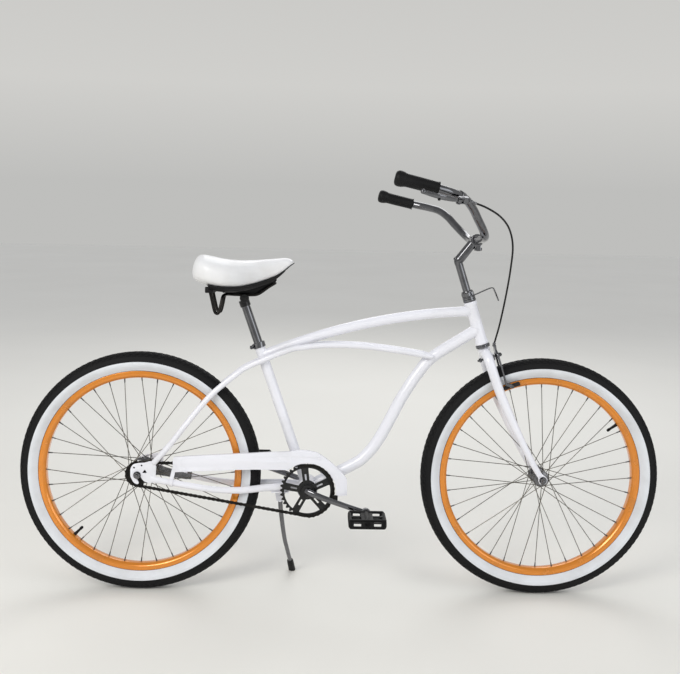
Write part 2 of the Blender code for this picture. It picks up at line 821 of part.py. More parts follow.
def front_hub():
    bore = clear_of(FRONT_AXLE_RADIUS, 10)
    profile = [
        (-0.0400, 0.0115),
        (-0.0330, 0.0125),
        (-0.0318, 0.0235),
        (-0.0282, 0.0235),
        (-0.0270, 0.0120),
        (0.0270, 0.0120),
        (0.0282, 0.0235),
        (0.0318, 0.0235),
        (0.0330, 0.0125),
        (0.0400, 0.0115),
        (0.0400, 0.0097),
        (0.0325, 0.0097),
        (0.0325, bore),
        (-0.0325, bore),
        (-0.0325, 0.0097),
        (-0.0400, 0.0097),
    ]
    return hub(front_axle(), profile, (-0.030, 0.030), 0.0208)


def rear_hub():
    bore = clear_of(REAR_AXLE_RADIUS, 10)
    profile = [
        (-0.0350, 0.0175),
        (-0.0305, 0.0195),
        (-0.0300, 0.0335),
        (-0.0265, 0.0335),
        (-0.0260, 0.0195),
        (0.0285, 0.0195),
        (0.0290, 0.0335),
        (0.0325, 0.0335),
        (0.0330, 0.0195),
        (0.0405, 0.0180),
        (0.0405, 0.0110),
        (0.0345, 0.0110),
        (0.0345, bore),
        (-0.0305, bore),
        (-0.0305, 0.0110),
        (-0.0350, 0.0110),
    ]
    return hub(rear_axle(), profile, (-0.0283, 0.0308), 0.0300)


def rim(axle):
    """A box-edged rim that opens outwards, where the tyre's beads sit."""
    outer, wide = RIM_RADIUS, RIM_HALF_WIDTH
    inner = outer - RIM_DEPTH
    profile = [
        (-wide, outer),
        (-wide, inner + 0.0070),
        (-wide * 0.55, inner),
        (wide * 0.55, inner),
        (wide, inner + 0.0070),
        (wide, outer),
        (wide - 0.0018, outer),
        (wide - 0.0018, inner + 0.0088),
        (-wide + 0.0018, inner + 0.0088),
        (-wide + 0.0018, outer),
    ]
    return lathe(axle, profile, WHEEL_STEPS, ring=True)


def tyre_profile():
    """The tyre's section, from one bead round the crown to the other and back along the inside."""
    seat = RIM_RADIUS - 0.0055
    tall = TYRE_RADIUS - seat
    wide = TYRE_HALF_WIDTH
    bead = RIM_HALF_WIDTH - 0.0024
    half = [(bead, 0.0), (bead, 0.115), (wide, 0.47), (wide * 0.82, 0.82), (wide * 0.32, 1.0)]
    inside = [(wide * 0.64, 0.79), (bead - 0.0035, 0.0)]
    profile = [(across, seat + tall * up) for across, up in half]
    profile = [(-across, radius) for across, radius in profile] + profile[::-1]
    lining = [(across, seat + tall * up) for across, up in inside]
    return profile + lining[::-1] + [(-across, radius) for across, radius in lining]


def tyre(axle):
    return lathe(axle, tyre_profile(), WHEEL_STEPS, ring=True)


def valve(axle, angle):
    """The valve stem inside the rim, with its cap."""
    out = Vector((math.cos(angle), 0.0, math.sin(angle)))
    top = (RIM_RADIUS - RIM_DEPTH) * math.cos(math.pi / WHEEL_STEPS) - GAP
    profile = [(0.0, 0.0050), (0.0120, 0.0038), (0.0220, 0.0032), (0.0225, 0.0042), (0.0310, 0.0036)]
    return lathe(axle + out * top, profile, 6, axis=-out)


def toothed(centre, teeth, root, tip):
    """Points round a sprocket: one at each root and one at each tip."""
    points = []
    for k in range(teeth):
        for part, radius in ((0.0, tip), (0.5, root)):
            turn = 2 * math.pi * (k + part) / teeth
            points.append((centre[0] + radius * math.cos(turn), centre[1] + radius * math.sin(turn)))
    return points


def chainring():
    """The toothed ring with its five split arms."""
    bracket = bracket_centre()
    centre = (bracket.x, bracket.z)
    pitch = pitch_radius(CHAINRING_TEETH)
    holes = [ring_points(centre, 0.0104, 14)]
    outer = pitch - 0.0090
    for arm in range(5):
        middle = math.radians(43 + 72 * arm) + CRANK_ANGLE
        window = middle + math.radians(36)
        spread = math.radians(27)
        inner_spread = math.radians(14)
        hole = ring_points(centre, outer, 6, window - spread, window + spread, closed=False)
        hole += ring_points(centre, 0.0250, 3, window + inner_spread, window - inner_spread, closed=False)
        holes.append(hole)
        slot = ring_points(centre, outer - 0.001, 2, middle - 0.045, middle + 0.045, closed=False)
        slot += ring_points(centre, 0.0250, 2, middle + 0.075, middle - 0.075, closed=False)
        holes.append(slot)
    pin = crank_point(0.0175, -1)
    holes.append(ring_points((pin.x, pin.z), 0.0036, 6))
    outline = toothed(centre, CHAINRING_TEETH, pitch - 0.0036, pitch + 0.0028)
    return plate(outline, -CHAIN_LINE - 0.0011, -CHAIN_LINE + 0.0011, holes)


def rear_sprocket():
    """The driven sprocket on the hub's driver."""
    axle = rear_axle()
    centre = (axle.x, axle.z)
    pitch = pitch_radius(SPROCKET_TEETH)
    turn = toothed(centre, SPROCKET_TEETH, pitch - 0.0036, pitch + 0.0028)
    disc = plate(turn, -CHAIN_LINE - 0.0011, -CHAIN_LINE + 0.0011, [ring_points(centre, 0.0120, 12)])
    bore = clear_of(REAR_AXLE_RADIUS, 12)
    profile = [(-0.0500, 0.0100), (-0.0490, 0.0165), (-0.0395, 0.0165), (-0.0368, 0.0150)]
    profile += [(-0.0368, bore), (-0.0500, bore)]
    driver = lathe(axle, profile, 12, ring=True)
    return joined(driver, disc)


def chain_loop(radius_offset):
    """The chain's path, as (x, z) points round both sprockets."""
    front, back = bracket_centre(), rear_axle()
    large = pitch_radius(CHAINRING_TEETH) + radius_offset
    small = pitch_radius(SPROCKET_TEETH) + radius_offset
    line = front - back
    slope = math.atan2(line.z, line.x)
    lift = math.acos((large - small) / line.length)
    upper, lower = slope + lift, slope - lift
    front_arc = ring_points((front.x, front.z), large, 15, lower, upper, closed=False)
    back_arc = ring_points((back.x, back.z), small, 8, upper, lower + 2 * math.pi, closed=False)
    return front_arc + back_arc


def chain():
    """The chain as two rows of side plates, joined by rollers along its straight runs."""
    half = 0.0042
    rows = []
    for low, high in ((-0.0030, -0.00165), (0.00165, 0.0030)):
        row = plate(chain_loop(half), -CHAIN_LINE + low, -CHAIN_LINE + high, [chain_loop(-half)])
        rows.append(row)
    outline = chain_loop(0.0)
    rollers = []
    for start, end in ((outline[14], outline[15]), (outline[-1], outline[0])):
        count = 5
        for k in range(count):
            part = 0.16 + 0.68 * k / (count - 1)
            x = start[0] + (end[0] - start[0]) * part
            z = start[1] + (end[1] - start[1]) * part
            rollers.append(rod((x, -CHAIN_LINE - 0.0023, z), (x, -CHAIN_LINE + 0.0023, z), 0.0028, 6))
    return joined(rows[0], rows[1], *rollers)


def crank_cup(side):
    """A bearing cup pressed into the bottom bracket shell."""
    bore = clear_of(SPINDLE_RADIUS, 12)
    profile = [
        (0.0220, bore),
        (0.0220, 0.0252),
        (SHELL_HALF_LENGTH, 0.0252),
        (SHELL_HALF_LENGTH + GAP, 0.0270),
        (SHELL_HALF_LENGTH + 0.0024, 0.0262),
        (SHELL_HALF_LENGTH + 0.0024, bore),
    ]
    return lathe(bracket_centre(), profile, 12, axis=(0, side, 0), ring=True)


def crank_arm(side):
    """One arm, bending out from the spindle, with the eye that takes a pedal."""
    line = [
        (0.0, 0.0500),
        (0.006, 0.0555),
        (0.020, 0.0625),
        (0.045, 0.0690),
        (0.075, 0.0720),
        (0.120, 0.0742),
        (CRANK_LENGTH - 0.008, 0.0760),
    ]
    path = []
    for reach, out in line:
        point = crank_point(reach, side)
        point.y = side * out
        path.append(point)
    widths = [0.0096, 0.0092, 0.0085, 0.0080, 0.0078, 0.0075, 0.0082]
    heights = [0.0096, 0.0085, 0.0066, 0.0058, 0.0055, 0.0054, 0.0054]
    lift = Vector((math.sin(-CRANK_ANGLE), 0.0, math.cos(CRANK_ANGLE)))
    arm = sweep(path, widths, heights, 8, across=lift)
    eye_centre = crank_point(CRANK_LENGTH, side)
    profile = [(0.0700, 0.0125), (0.0715, 0.0138), (0.0810, 0.0138), (0.0825, 0.0125)]
    eye = lathe(eye_centre, profile, 10, axis=(0, side, 0))
    out = Vector((0, side, 0))
    hole = rod(eye_centre + out * 0.065, eye_centre + out * 0.09, clear_of(0.0069, 8), 8)
    return cut(joined(arm, eye), hole)


def crank():
    """Both arms and the spindle in one forging, with the cones and the pin that drives the chainring."""
    centre = bracket_centre()
    spindle = rod(centre - Vector((0, 0.052, 0)), centre + Vector((0, 0.052, 0)), SPINDLE_RADIUS, 12)
    shapes = [crank_arm(-1), crank_arm(1), spindle]
    plane = CHAIN_LINE
    left = Vector((0, 1, 0))
    shapes.append(rod(centre - left * (plane - 0.0015), centre - left * 0.0385, 0.0150, 10))
    shapes.append(rod(centre - left * (plane + 0.0073), centre - left * (plane + 0.0015), 0.0195, 10))
    shapes.append(rod(centre + left * 0.0385, centre + left * 0.0455, 0.0150, 10))
    pin = crank_point(0.0175, -1)
    shapes.append(rod(pin - left * (plane - 0.0008), pin - left * (plane + 0.010), 0.0030, 6))
    return joined(*shapes)


def pedal_spindle(side):
    centre = crank_point(CRANK_LENGTH, side)
    outer = 0.100 + PEDAL_WIDTH
    profile = [
        (0.0706, 0.0069),
        (0.0828, 0.0069),
        (0.0829, 0.0082),
        (0.0900, 0.0082),
        (0.0905, PEDAL_PIN_RADIUS),
        (outer - 0.0080, PEDAL_PIN_RADIUS),
        (outer - 0.0060, PEDAL_PIN_RADIUS - 0.0010),
    ]
    return lathe(centre, profile, 8, axis=(0, side, 0))


def pedal(side):
    """A resin pedal body with four windows seen from above and two seen from its end."""
    centre = crank_point(CRANK_LENGTH, side)
    long, tall = PEDAL_LENGTH / 2, PEDAL_HEIGHT / 2
    inner, outer = 0.100, 0.100 + PEDAL_WIDTH
    corner = 0.006
    ahead = [(long - 0.004, -tall), (long, -tall + corner), (long, tall - corner), (long - 0.004, tall)]
    outline = ahead + [(-x, z) for x, z in reversed(ahead)]
    outline = [(centre.x + x, centre.z + z) for x, z in outline]
    low, high = sorted((side * inner, side * outer))
    body = plate(outline, low, high)
    middle = side * (inner + outer) / 2
    start = (centre.x, side * (inner - 0.01), centre.z)
    end = (centre.x, side * (outer - 0.003), centre.z)
    cutters = [rod(start, end, clear_of(PEDAL_PIN_RADIUS, 12), 12)]
    for way in (-1, 1):
        x = centre.x + way * 0.0265
        window = (x - 0.0095, low - 0.01, centre.z - 0.0060), (x + 0.0095, high + 0.01, centre.z + 0.0065)
        cutters.append(box(*window))
        for row in (-1, 1):
            x = centre.x + way * 0.0285
            y = middle + row * PEDAL_WIDTH * 0.235
            corner = Vector((0.0135, 0.0165, 0.02))
            place = Vector((x, y, centre.z))
            cutters.append(box(place - corner, place + corner))
    return cut(body, *cutters)


# Fork and steering


def fork_leg(side):
    line = [
        (1.0000, 0.000, 0.006),
        (0.9909, 0.000, 0.022),
        (0.9530, 0.000, 0.0385),
        (0.8825, 0.000, 0.0462),
        (0.7833, 0.017, 0.0478),
        (0.6580, 0.085, 0.0485),
        (0.5222, 0.219, 0.0492),
        (0.4073, 0.350, 0.0500),
        (0.3003, 0.483, 0.0508),
        (0.2063, 0.613, 0.0516),
        (0.1175, 0.754, 0.0522),
        (0.0366, 0.917, 0.0525),
    ]
    crown = HEAD_TUBE_START - 0.0237
    path = [steer(up * crown, rake * FORK_OFFSET, side * out) for up, rake, out in line]
    widths = [0.0140, 0.0138, 0.0136, 0.0134, 0.0132, 0.0126]
    widths += [0.0118, 0.0108, 0.0098, 0.0088, 0.0070, 0.0036]
    heights = [0.0145, 0.0142, 0.0138, 0.0136, 0.0134, 0.0128]
    heights += [0.0120, 0.0110, 0.0100, 0.0092, 0.0088, 0.0080]
    return sweep(path, widths, heights, 8, across=(0, side, 0.4))


def fork_tip(side):
    """The slotted plate that hangs on the front axle."""
    axle = front_axle()
    slot = 0.0050
    outline = ring_points((axle.x, axle.z), 0.0125, 5, math.radians(-60), math.radians(50), closed=False)
    for forward in (-0.0010, -0.0120):
        corner = steer(0.0240, FORK_OFFSET + forward)
        outline.append((corner.x, corner.z))
    outline += ring_points((axle.x, axle.z), 0.0125, 4, math.radians(165), math.radians(240), closed=False)
    inner = ring_points((axle.x, axle.z), slot, 5, math.radians(180), math.radians(0), closed=False)
    outline += [(axle.x - slot, axle.z - 0.0120), *inner, (axle.x + slot, axle.z - 0.0120)]
    low, high = sorted((side * 0.0505, side * 0.0545))
    return plate(outline, low, high)


def fork():
    """Steerer, two raked legs that arch together under the head tube, and the axle tips."""
    low, high = HEAD_TUBE_START, HEAD_TUBE_START + HEAD_TUBE_LENGTH
    steerer = rod(steer(low - 0.0307), steer(high + 0.0262), STEERER_RADIUS, 16)
    race = rod(steer(low - 0.0207), steer(low - 0.0125), 0.0172, 16)
    shapes = [fork_leg(-1), fork_leg(1), steerer, race, fork_tip(-1), fork_tip(1)]
    body = joined(*shapes)
    bore = rod(steer(low + 0.0033), steer(high + 0.07), clear_of(QUILL_RADIUS, 16), 16)
    bolt = rod(steer(brake_height(), -0.05), steer(brake_height(), 0.05), 0.0034, 8)
    return cut(body, bore, bolt)


def headset_locknut():
    start = steer(HEAD_TUBE_START + HEAD_TUBE_LENGTH + 0.0168)
    profile = [(0.0, 0.0136), (0.0, 0.0178), (0.0100, 0.0178), (0.0145, 0.0160), (0.0145, 0.0136)]
    return lathe(start, profile, 12, axis=steer(1.0) - steer(0.0), ring=True)


def reflector_bracket():
    """A washer on the steerer with a bent strip that reaches out in front of the head tube."""
    start = HEAD_TUBE_START + HEAD_TUBE_LENGTH + 0.0141
    up = steer(1.0) - steer(0.0)
    profile = [(0.0, 0.0136), (0.0, 0.0176), (0.0023, 0.0176), (0.0023, 0.0136)]
    washer = lathe(steer(start), profile, 12, axis=up, ring=True)
    path = [
        steer(start + 0.0011, 0.0160),
        steer(start + 0.0020, 0.0260),
        steer(start + 0.0045, 0.0450),
        steer(start + 0.0060, 0.0660),
        steer(start + 0.0030, 0.0725),
        steer(start - 0.0345, 0.0765),
    ]
    strip = sweep(path, 0.0012, 0.0062, 4, across=(0.3, 0, 0.9))
    return joined(washer, strip)


def stem():
    """The quill, its goose neck and the clamp that holds the bar."""
    centre = bar_centre()
    foot = steer(HEAD_TUBE_START + 0.0633)
    path = [
        foot,
        steer(STEM_HEIGHT - 0.006),
        steer(STEM_HEIGHT + 0.0060, 0.0010),
        steer(STEM_HEIGHT + 0.0130, 0.0070),
        centre + Vector((-0.010, 0, -0.010)),
    ]
    radii = [QUILL_RADIUS, QUILL_RADIUS, 0.0126, 0.0130, 0.0126]
    neck = sweep(path, radii, radii, 10)
    clamp = lathe(centre, [(-0.0215, 0.0160), (-0.0200, 0.0175), (0.0200, 0.0175), (0.0215, 0.0160)], 14)
    lug = box((centre.x, -0.0100, centre.z - 0.0290), (centre.x + 0.0125, 0.0100, centre.z - 0.008))
    low = centre.z - 0.0235
    bolt = rod((centre.x - 0.004, 0, low), (centre.x + 0.0170, 0, low), 0.0042, 6)
    profile = [(0.0, 0.0068), (0.0170, 0.0068), (0.0195, 0.0050)]
    screw = lathe(steer(STEM_HEIGHT - 0.004, -0.005), profile, 10, axis=steer(1.0, -0.12) - steer(0.0))
    body = joined(neck, clamp, lug, bolt, screw)
    side = Vector((0, 0.05, 0))
    return cut(body, rod(centre - side, centre + side, clear_of(BAR_RADIUS, 12), 12))


def bar_centre():
    return steer(STEM_HEIGHT + 0.0474, 0.0632)


def bar_path():
    """Half of the handlebar, from the clamp out to the end inside the grip."""
    centre = bar_centre()
    points = [
        (0.0, 0.000, 0.0),
        (0.0, 0.030, 0.0),
        (0.002, 0.090, 0.002),
        (0.001, 0.135, 0.0075),
        (-0.011, 0.172, 0.024),
        (-0.031, 0.207, 0.050),
        (-0.0485, 0.235, 0.0735),
        (-0.071, 0.266, 0.0935),
        (-0.099, 0.297, 0.1040),
        (-0.1435, 0.321, 0.1145),
        (-0.200, 0.3245, 0.1275),
        (-0.2450, 0.3225, 0.1380),
    ]
    return [centre + Vector(point) for point in points]


def handlebar():
    half = bar_path()
    other = [Vector((point.x, -point.y, point.z)) for point in half[:0:-1]]
    return sweep(other + half, BAR_RADIUS, sides=8, across=(0, 0, 1), wall=0.0018)


def grip(side):
    """A grip with a thick bulb at its closed end."""
    path = bar_path()[-3:]
    ahead = (path[2] - path[1]).normalized()
    points = [path[0].lerp(path[1], 0.06), path[0].lerp(path[1], 0.16), path[1]]
    points += [path[2] + ahead * along for along in (-0.0220, -0.0110, 0.0, 0.0085)]
    swell = [0.0015, -0.0003, 0.0, 0.0002, 0.0030, 0.0035, -0.0030]
    radii = [GRIP_RADIUS + more for more in swell]
    bore = [path[0].lerp(path[1], -0.3), path[1], path[2] + ahead * 0.0006]
    body = sweep(points, radii, radii, 12, across=(0, 0, 1))
    hole = sweep(bore, clear_of(BAR_RADIUS, 8), sides=8, across=(0, 0, 1))
    shape = cut(body, hole)
    return shape if side > 0 else mirrored(shape)


def lever_clamp():
    """The ring on the bar that carries the brake lever between two cheeks, and the end of the cable."""
    path = bar_path()
    place = path[7].lerp(path[8], 0.60)
    along = (path[8] - path[7]).normalized()
    place.y, along.y = -place.y, -along.y
    radius = clear_of(BAR_RADIUS, 12)
    profile = [(0.0, radius), (0.0, radius + 0.0028), (0.017, radius + 0.0028), (0.017, radius)]
    band = lathe(place - along * 0.0085, profile, 12, axis=along, ring=True)
    pivot, axis = lever_pivot(), lever_axis()
    front = Vector((0.93, 0.37, 0.06)).normalized()
    block = pivot + front * 0.0165
    bridge = sweep([block - axis * 0.0085, block + axis * 0.0085], 0.0060, 0.0050, 6, across=front)
    cheeks = []
    for way in (-1, 1):
        beside = axis * way * 0.0069
        cheek = sweep([pivot - front * 0.006 + beside, block + beside], 0.0016, 0.0058, 4, across=axis)
        cheeks.append(cheek)
    pin = rod(pivot - axis * 0.0080, pivot + axis * 0.0080, 0.0030, 8)
    reach = (block - place).normalized()
    arm = rod(place + reach * (radius + 0.0024), block, 0.0052, 8)
    start = cable_start()
    leaving = (cable_points()[1] - start).normalized()
    line = [block, start - leaving * 0.012, start - leaving * 0.0005]
    barrel = sweep(line, 0.0042, sides=8, across=(0, 0, 1))
    return joined(band, arm, bridge, pin, barrel, *cheeks)


def lever_axis():
    """The lever turns towards the grip about this direction."""
    return Vector((-0.1865, 0.4393, -0.8787)).normalized()


def brake_lever():
    """The lever blade: an eye on the pivot, a long curved blade and a round end."""
    pivot, axis = lever_pivot(), lever_axis()
    line = [
        (-0.004, -0.003, 0.000),
        (-0.016, -0.027, 0.000),
        (-0.044, -0.050, 0.0025),
        (-0.071, -0.057, 0.0080),
        (-0.0935, -0.057, 0.0140),
    ]
    path = [pivot + Vector(point) for point in line]
    widths = [0.0038, 0.0050, 0.0058, 0.0052, 0.0045]
    heights = [0.0038, 0.0036, 0.0032, 0.0030, 0.0035]
    blade = sweep(path, widths, heights, 8, across=axis)
    eye = rod(pivot - axis * 0.0046, pivot + axis * 0.0046, 0.0068, 12)
    profile = [(0.0, 0.0030), (0.003, 0.0058), (0.009, 0.0058), (0.012, 0.0030)]
    tip = lathe(path[-1] + Vector((0.005, 0, 0)), profile, 6, axis=(-1, 0, 0.2))
    bore = rod(pivot - axis * 0.02, pivot + axis * 0.02, 0.0034, 8)
    return cut(joined(eye, blade, tip), bore)


def cable_start():
    return lever_pivot() + Vector((0.0390, 0.034, -0.0020))


def cable_end():
    return steer(brake_height() + 0.0420, 0.0290, -0.0350)


def brake_cable():
    """The cable's route, from the lever round in front of the bar and down to the caliper."""
    return smooth(cable_points(), 5)


def cable_points():
    """Points the cable passes through, from its start at the lever to its end at the caliper."""
    start, end = cable_start(), cable_end()
    middle = start.lerp(end, 0.5)
    offsets = [
        (-0.0189, -0.1125, 0.1703),
        (0.0225, -0.0755, 0.1510),
        (0.0545, -0.0305, 0.1227),
        (0.0741, 0.0145, 0.0804),
        (0.0785, 0.0515, 0.0254),
        (0.0752, 0.0835, -0.0462),
        (0.0660, 0.1115, -0.1280),
    ]
    return [start, *[middle + Vector(offset) for offset in offsets], end]


def make_cable(bicycle):
    path = brake_cable()
    data = bpy.data.curves.new("brake_cable", "CURVE")
    data.dimensions = "3D"
    data.bevel_depth = 0.0025
    data.bevel_resolution = 2
    data.use_fill_caps = True
    spline = data.splines.new("POLY")
    spline.points.add(len(path) - 1)
    origin = bicycle.places["steering"][1]
    for point, place in zip(spline.points, path):
        point.co = (*(place - origin), 1.0)
    data.materials.append(bicycle.materials["black_plastic"])
    cable = bpy.data.objects.new("brake_cable", data)
    bpy.context.scene.collection.objects.link(cable)
    cable.parent = bicycle.empties["steering"]
    bicycle.pieces.append(cable)


def caliper_bolt():
    """The bolt through the fork that carries the caliper: its nut is behind, its spring block in front."""
    ahead = steer(0.0, 1.0) - steer(0.0, 0.0)
    height = brake_height()
    shaft = rod(steer(height, -0.0260), steer(height, 0.0440), 0.0030, 10)
    nut = rod(steer(height, -0.0215), steer(height, -0.0155), 0.0056, 6)
    block = box((-0.0085, -0.0085, 0.0), (0.0085, 0.0085, 0.0060))
    turn = Vector((0, 0, 1)).rotation_difference(ahead).to_matrix().to_4x4()
    block.transform(Matrix.Translation(steer(height, 0.0160)) @ turn)
    cap = rod(steer(height, 0.0375), steer(height, 0.0425), 0.0056, 6)
    return joined(shaft, nut, block, cap)


def caliper_arm(side):
    """A curved arm that reaches down beside the tyre. The two arms lie one in front of the other."""
    forward = 0.0268 if side < 0 else 0.0336
    pivot = brake_height()
    drop = pivot - PAD_HEIGHT
    line = [
        (1.0, 0.0),
        (1.1441, 0.018),
        (1.1663, 0.032),
        (1.0111, 0.0415),
        (0.6785, 0.0445),
        (0.3459, 0.0420),
        (0.1242, 0.0385),
    ]
    path = [steer(PAD_HEIGHT + up * drop, forward, side * out) for up, out in line]
    width = [0.0075, 0.0070, 0.0062, 0.0058, 0.0052, 0.0050, 0.0048]
    arm = sweep(path, 0.0028, width, 6, across=steer(0, 1) - steer(0, 0))
    eye = rod(steer(pivot, forward - 0.0028), steer(pivot, forward + 0.0028), 0.0088, 10)
    foot = sweep([path[-1], steer(PAD_HEIGHT + 0.0022, 0.0405, side * 0.0380)], 0.0052, 0.0052, 6)
    near, far = (steer(PAD_HEIGHT, 0.0415, side * out) for out in (0.0321, 0.0430))
    holder = rod(near, far, 0.0050, 6)
    shapes = [arm, eye, foot, holder]
    if side < 0:
        hook_line = [(0.0130, 0.0, -0.0270), (0.0240, 0.0, -0.0335), (0.0345, 0.001, -0.0350)]
        hook_path = [steer(pivot + up, forward + ahead, out) for up, ahead, out in hook_line]
        hook = sweep(hook_path, 0.0026, 0.0045, 8, across=steer(0, 1) - steer(0, 0))
        end = cable_end()
        ahead = (end - cable_points()[-2]).normalized()
        cup = rod(end + ahead * 0.0006, end + ahead * 0.0120, 0.0042, 6)
        shapes += [hook, cup]
    body = joined(*shapes)
    return cut(body, rod(steer(pivot, 0.0), steer(pivot, 0.06), 0.0034, 10))


def brake_pad(side):
    """A rubber block beside the rim's braking face, with its short stud hidden in the arm's foot."""
    centre = steer(PAD_HEIGHT, 0.0415, side * 0.0262)
    radial = (centre - front_axle()).normalized()
    radial.y = 0.0
    radial.normalize()
    along = Vector((radial.z, 0.0, -radial.x))
    path = [centre - along * 0.024, centre - along * 0.022, centre + along * 0.022, centre + along * 0.024]
    return sweep(path, [0.0044, 0.0055, 0.0055, 0.0044], [0.0042, 0.0056, 0.0056, 0.0042], 8)


def front_axle_piece():
    axle = front_axle()
    reach = Vector((0, 0.066, 0))
    spindle = rod(axle - reach, axle + reach, FRONT_AXLE_RADIUS, 10)
    shapes = [spindle]
    for side in (-1, 1):
        shapes.append(wheel_nut(axle + Vector((0, side * 0.0548, 0)), side))
        profile = [(0.0334, 0.0060), (0.0360, 0.0088), (0.0502 - GAP, 0.0088)]
        shapes.append(lathe(axle, profile, 10, axis=(0, side, 0)))
    return joined(*shapes)


# Kickstand


def stand_path():
    """The leg's line, drawn as parts of the pivot's height so that it always reaches the ground."""
    pivot = stand_pivot()
    line = [
        (0.0, 0.0, -0.0233),
        (0.0078, 0.0155, -0.1550),
        (0.0310, 0.0562, -0.3566),
        (0.0543, 0.0911, -0.5116),
        (0.0736, 0.1337, -0.6047),
        (0.0911, 0.1977, -0.6977),
        (0.1066, 0.2674, -0.7829),
        (0.1202, 0.3450, -0.8760),
    ]
    return smooth([pivot + Vector(point) * pivot.z for point in line], 2)


def ground_cutter():
    """Everything below the ground on which the leaning bicycle stands."""
    below = box((-1.0, -1.0, -0.2), (1.0, 1.0, 0.0))
    place = Matrix.Rotation(LEAN, 4, "X") @ Matrix.Translation((0, 0, -ground_rise()))
    below.transform(place)
    return below


def kickstand_leg():
    path = stand_path()
    radii = [STAND_RADIUS + more for more in (0.0008, 0.0006, 0.0004, 0.0002, 0.0, 0.0, 0.0, 0.0)]
    leg = sweep(path, between(radii), sides=8, across=(1, 0, 0))
    pivot = stand_pivot()
    side = Vector((0, 0.0105, 0))
    eye = rod(pivot - side, pivot + side, 0.0115, 12)
    bore = rod((pivot.x, 0.0, pivot.z), (pivot.x, 0.07, pivot.z), 0.0049, 12)
    return cut(joined(leg, eye), bore)


def kickstand_foot():
    """The rubber foot, cut off flat along the ground."""
    path = stand_path()
    end, before = path[-1], path[-3]
    ahead = (end - before).normalized()
    points = [end + ahead * along for along in (-0.026, -0.024, 0.024)]
    shoe = sweep(points, [0.0080, 0.0092, 0.0102], sides=12, across=(1, 0, 0))
    bore = clear_of(STAND_RADIUS + 0.0001, 8)
    sleeve = sweep([end - ahead * 0.04, end + ahead * GAP], bore, sides=8, across=(1, 0, 0))
    return cut(shoe, sleeve, ground_cutter())


# Saddle


def turned(mesh):
    """The saddle and its post are turned a little about the post, as they stand on the bicycle."""
    origin = seat_line(0.0)
    spin = Matrix.Rotation(SADDLE_TURN, 4, seat_line(1.0) - origin)
    mesh.transform(Matrix.Translation(origin) @ spin @ Matrix.Translation(-origin))
    return mesh


def seatpost():
    path = [seat_line(POST_BOTTOM), seat_line(POST_TOP)]
    return turned(sweep(path, POST_RADIUS, sides=18, wall=0.0018))


def rail_level():
    return seat_line(POST_TOP) + Vector((0.0, 0.0, 0.0205))


def saddle_clamp():
    """The clamp on top of the post: a collar, a cross barrel with a groove for each rail, and its bolt."""
    up = seat_line(1.0) - seat_line(0.0)
    collar = rod(seat_line(POST_TOP - 0.022), seat_line(POST_TOP + 0.006), POST_RADIUS + 0.0042, 12)
    level = rail_level()
    barrel_centre = level + Vector((0, 0, -0.0095))
    profile = [(-0.0330, 0.0105), (-0.0315, 0.0125), (0.0315, 0.0125), (0.0330, 0.0105)]
    barrel = lathe(barrel_centre, profile, 12)
    left, ahead = Vector((0, 1, 0)), Vector((0.05, 0, 0))
    nuts = []
    for way in (-1, 1):
        start = barrel_centre + left * way * 0.032
        nuts.append(rod(start, start + left * way * 0.0065, 0.0065, 6))
    body = joined(collar, barrel, *nuts)
    bottom, top = seat_line(POST_TOP - 0.06), seat_line(POST_TOP) + up * GAP
    cutters = [rod(bottom, top, clear_of(POST_RADIUS, 18), 18)]
    for way in (-1, 1):
        rail = level + left * way * RAIL_SPREAD
        cutters.append(rod(rail - ahead, rail + ahead, RAIL_RADIUS + GAP * 2, 8))
    return turned(cut(body, *cutters))


def saddle_rails():
    """The sprung undercarriage: one wire makes two rails and a hairpin loop under each rear corner."""
    level = rail_level()
    half = [
        (0.084, 0.000, 0.0330),
        (0.080, 0.012, 0.0310),
        (0.066, 0.020, 0.0225),
        (0.040, RAIL_SPREAD, 0.0040),
        (0.022, RAIL_SPREAD, 0.0),
        (-0.022, RAIL_SPREAD, 0.0),
        (-0.034, 0.028, 0.0005),
        (-0.048, 0.050, 0.0008),
        (-0.0565, 0.0720, -0.0050),
        (-0.0610, 0.0795, -0.0250),
        (-0.0655, 0.0806, -0.0440),
        (-0.0690, 0.0809, -0.0500),
        (-0.0735, 0.0811, -0.0500),
        (-0.0780, 0.0814, -0.0440),
        (-0.0835, 0.0820, -0.0220),
        (-0.0885, 0.0825, 0.0),
        (-0.0920, 0.0830, 0.0150),
    ]
    left = [level + Vector(point) for point in half]
    right = [Vector((point.x, -point.y, point.z)) for point in left[:0:-1]]
    return turned(sweep(right + left, RAIL_RADIUS, sides=6, across=(1, 0, 0)))


def saddle_stations():
    """Along the saddle: distance from the clamp, top, underside and half width, from tail to nose."""
    return [
        (-0.1400, 0.0660, 0.0540, 0.050),
        (-0.1360, 0.0860, 0.0420, 0.078),
        (-0.1260, 0.1030, 0.0350, 0.100),
        (-0.1130, 0.1080, 0.0290, 0.112),
        (-0.0950, 0.1055, 0.0240, 0.120),
        (-0.0700, 0.1005, 0.0195, SADDLE_HALF_WIDTH),
        (-0.0450, 0.0965, 0.0182, 0.118),
        (-0.0150, 0.0945, 0.0198, 0.101),
        (0.0120, 0.0950, 0.0255, 0.080),
        (0.0380, 0.0965, 0.0332, 0.061),
        (0.0650, 0.0990, 0.0430, 0.047),
        (0.0880, 0.1010, 0.0532, 0.038),
        (0.1080, 0.1030, 0.0668, 0.032),
        (0.1220, 0.1015, 0.0792, 0.027),
        (0.1310, 0.0970, 0.0860, 0.020),
        (0.1345, 0.0920, 0.0885, 0.011),
    ]


